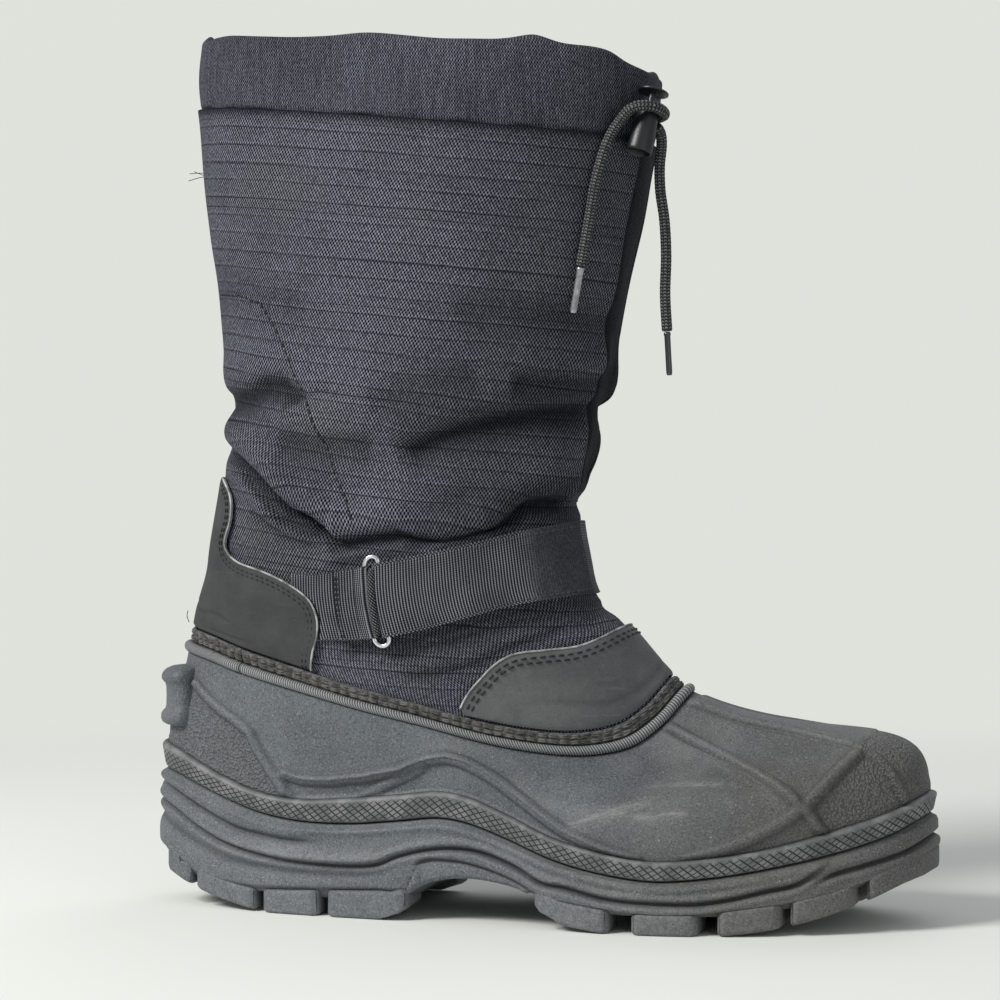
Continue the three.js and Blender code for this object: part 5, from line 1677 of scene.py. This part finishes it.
def anchor_start(w):
    """Where the anchor comes out from under the heel overlay, for a place across its width."""
    t = heel_edge(lerp(2.2, 3.72, w))
    return np.clip(angle_of(t) / math.pi + 0.005, 0.37, 0.425)


def band_faces(path, ws, start):
    """The two faces of a folded band, as rows across by columns along. `start` gives the turn
    where each row begins; the path is drawn out to it over its first stretch."""
    front, back = [], []
    for w in ws:
        turn, rise = path.T
        if start:
            turn = turn + (start(w) - turn[0]) * np.clip((0.45 - turn) / 0.025, 0, 1)
        centre = on_strap(turn, w, rise)
        upward = on_strap(turn, w + 0.02, 0) - on_strap(turn, w - 0.02, 0)
        face = unit(np.cross(np.gradient(centre, axis=0), upward)) * WEBBING / 2
        front.append(centre + face)
        back.append(centre - face)
    return np.array(front), np.array(back)


def add_band(build, path, ws, fuzz, start=None, even_at=0):
    """A band of webbing along a path; its ribs are even where the rows pass column `even_at`."""
    front, back = band_faces(path, ws, start)
    if start:
        walked = np.array([walked_along(row) for row in front])
        walked = walked - walked[:, even_at:even_at + 1]
    else:
        walked = walked_along(front[len(ws) // 2])
    places = stacked(walked, np.array(ws)[:, None] * STRAP_WIDTH)
    values = {"fuzz": np.broadcast_to(fuzz, front.shape[:2])}
    build.grid(front, places, around=False, values=values)
    build.grid(back, places, around=False, flip=True, values=values)
    for a, b, at in ((back[0], front[0], 0), (front[-1], back[-1], -1)):
        build.grid(np.stack([a, b]), np.stack([places[at], places[at] + [0, 0.6]]), around=False)
    build.grid(np.stack([front[:, 0], back[:, 0]], 1), around=False, flip=True)
    build.grid(np.stack([front[:, -1], back[:, -1]], 1), around=False)


def add_strap_seam(build, turn, w, size, wobble=0.0):
    add_stitches(build, on_strap(turn, w, STITCH_LAYER), shaft_normal(turn * math.pi, strap_level(turn, w)),
                 size, wobble=wobble)


def make_strap():
    inner, fold = run(1.585, 0.56, 220, INNER_LAYER), fold_round(RING_TURN + BAR_SPREAD, 1)
    path = np.concatenate([inner, fold, run(0.575, 0.96, 150, OUTER_LAYER)])
    on_top = np.arange(len(path)) >= len(inner) + len(fold)
    build, seams = Build(), Build()
    add_band(build, path, [0.02, 0.035, 0.08, 0.2, 0.35, 0.5, 0.65, 0.8, 0.92, 0.965, 0.98],
             step(path[:, 0], 0.77, 0.82) * on_top)
    make_piece("strap_look", build, WEBBING_PAINT, "strap", sharp=60)
    stitch = (1.7, 0.9, 0.4, 0.4)
    for w in (0.075, 0.925):
        add_strap_seam(seams, np.linspace(0.672, 0.955, 240), w, stitch)
    for turn in (0.672, 0.95):
        add_strap_seam(seams, np.full(60, turn), np.linspace(0.08, 0.92, 60), stitch)
    make_piece("strap_stitches", seams, GREY_THREAD)


def make_anchor():
    inner = run(0.425, 0.49, 40, INNER_LAYER)
    path = np.concatenate([inner, fold_round(RING_TURN - BAR_SPREAD, -1), run(0.485, 0.45, 20, OUTER_LAYER)])
    build, seams = Build(), Build()
    add_band(build, path, [0.03, 0.05, *np.linspace(0.1, 0.9, 17), 0.95, 0.97], 0.0, anchor_start,
             len(inner))
    make_piece("strap_anchor_look", build, WEBBING_PAINT, "strap_anchor", sharp=60)
    for turn in (0.452, 0.456):
        add_strap_seam(seams, np.full(60, turn), np.linspace(0.06, 0.94, 60), (1.6, 0.5, 0.6, 0.6), 0.15)
    make_piece("strap_anchor_stitches", seams, THREAD)


def ring_centres():
    """The wire's centreline: two bars joined by bends above and below the webbing."""
    def bar(side, w):
        return on_strap(np.full(np.shape(w), RING_TURN + side * BAR_SPREAD), w, BAR_RISE)

    def bend(w, before, start):
        middle = (bar(1, w) + bar(-1, w)) / 2
        half = bar(start, w) - middle
        onward = unit(bar(0, w) - bar(0, before)) * np.linalg.norm(half)
        turn = np.linspace(0, math.pi, 16)[1:-1, None]
        return middle + half * np.cos(turn) + onward * np.sin(turn)

    up = np.linspace(0.012, 0.985, 24)
    return np.concatenate([bar(1, up), bend(0.985, 0.9, 1), bar(-1, up[::-1]), bend(0.012, 0.1, -1)])


def make_ring():
    """The wire ring, and the bound cord edge that lies across it."""
    build, binding = Build(), Build()
    first = shaft_normal(RING_TURN * math.pi, 3.2)
    build.grid(tube_points(ring_centres(), WIRE / 2 * 0.92, closed=True, first=first), over=True)
    make_piece("strap_ring_look", build, WIRE_PAINT, "strap_ring")
    w = np.linspace(0.06, 0.93, 60)
    route = on_strap(RING_TURN + np.linspace(-0.6, 0.6, 60) / MM_PER_TURN, w, BAR_RISE + 1.7)
    radius = 1.75 * np.sqrt(np.clip(1 - (np.abs(2 * w - 0.99) / 0.9) ** 12, 0.2, 1))
    around = 20
    places = stacked(walked_along(route)[:, None], np.linspace(0, TAU * 1.75, around + 1))
    binding.grid(tube_points(route, radius[:, None], around), places, ends=(0, -1))
    make_piece("strap_ring_binding", binding, BINDING_PAINT)


make_strap()
make_anchor()
make_ring()

# ---------------------------------------------------------------- loose ends and footbed
# where each thread starts, and its next two points from there
LOOSE_THREADS = [
    ([19.5, -2, 306.5], (-5, -0.5, 0.9), (-10.5, -1, 0.7)),
    ([19.5, -2, 306.0], (-5, -0.5, -0.3), (-11, -1, -1.8)),
    ([19.5, -2, 305.5], (-4, -0.5, 0.8), (-8.5, -1, 2.6)),
    ([8.8, -3, 116.5], (-0.8, -0.4, 2.6), (-0.2, -0.8, 5)),
]


def make_loose_threads():
    build = Build()
    for start, *steps in LOOSE_THREADS:
        route = catmull([start, *(np.add(start, s) for s in steps)], 12)
        build.grid(tube_points(route, 0.16, 6, first=(0, 1, 0)), ends=(0, -1))
    make_piece("loose_threads", build, THREAD)


make_loose_threads()
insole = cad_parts["insole"]
insole.data.materials.clear()
insole.data.materials.append(LINING_PAINT)
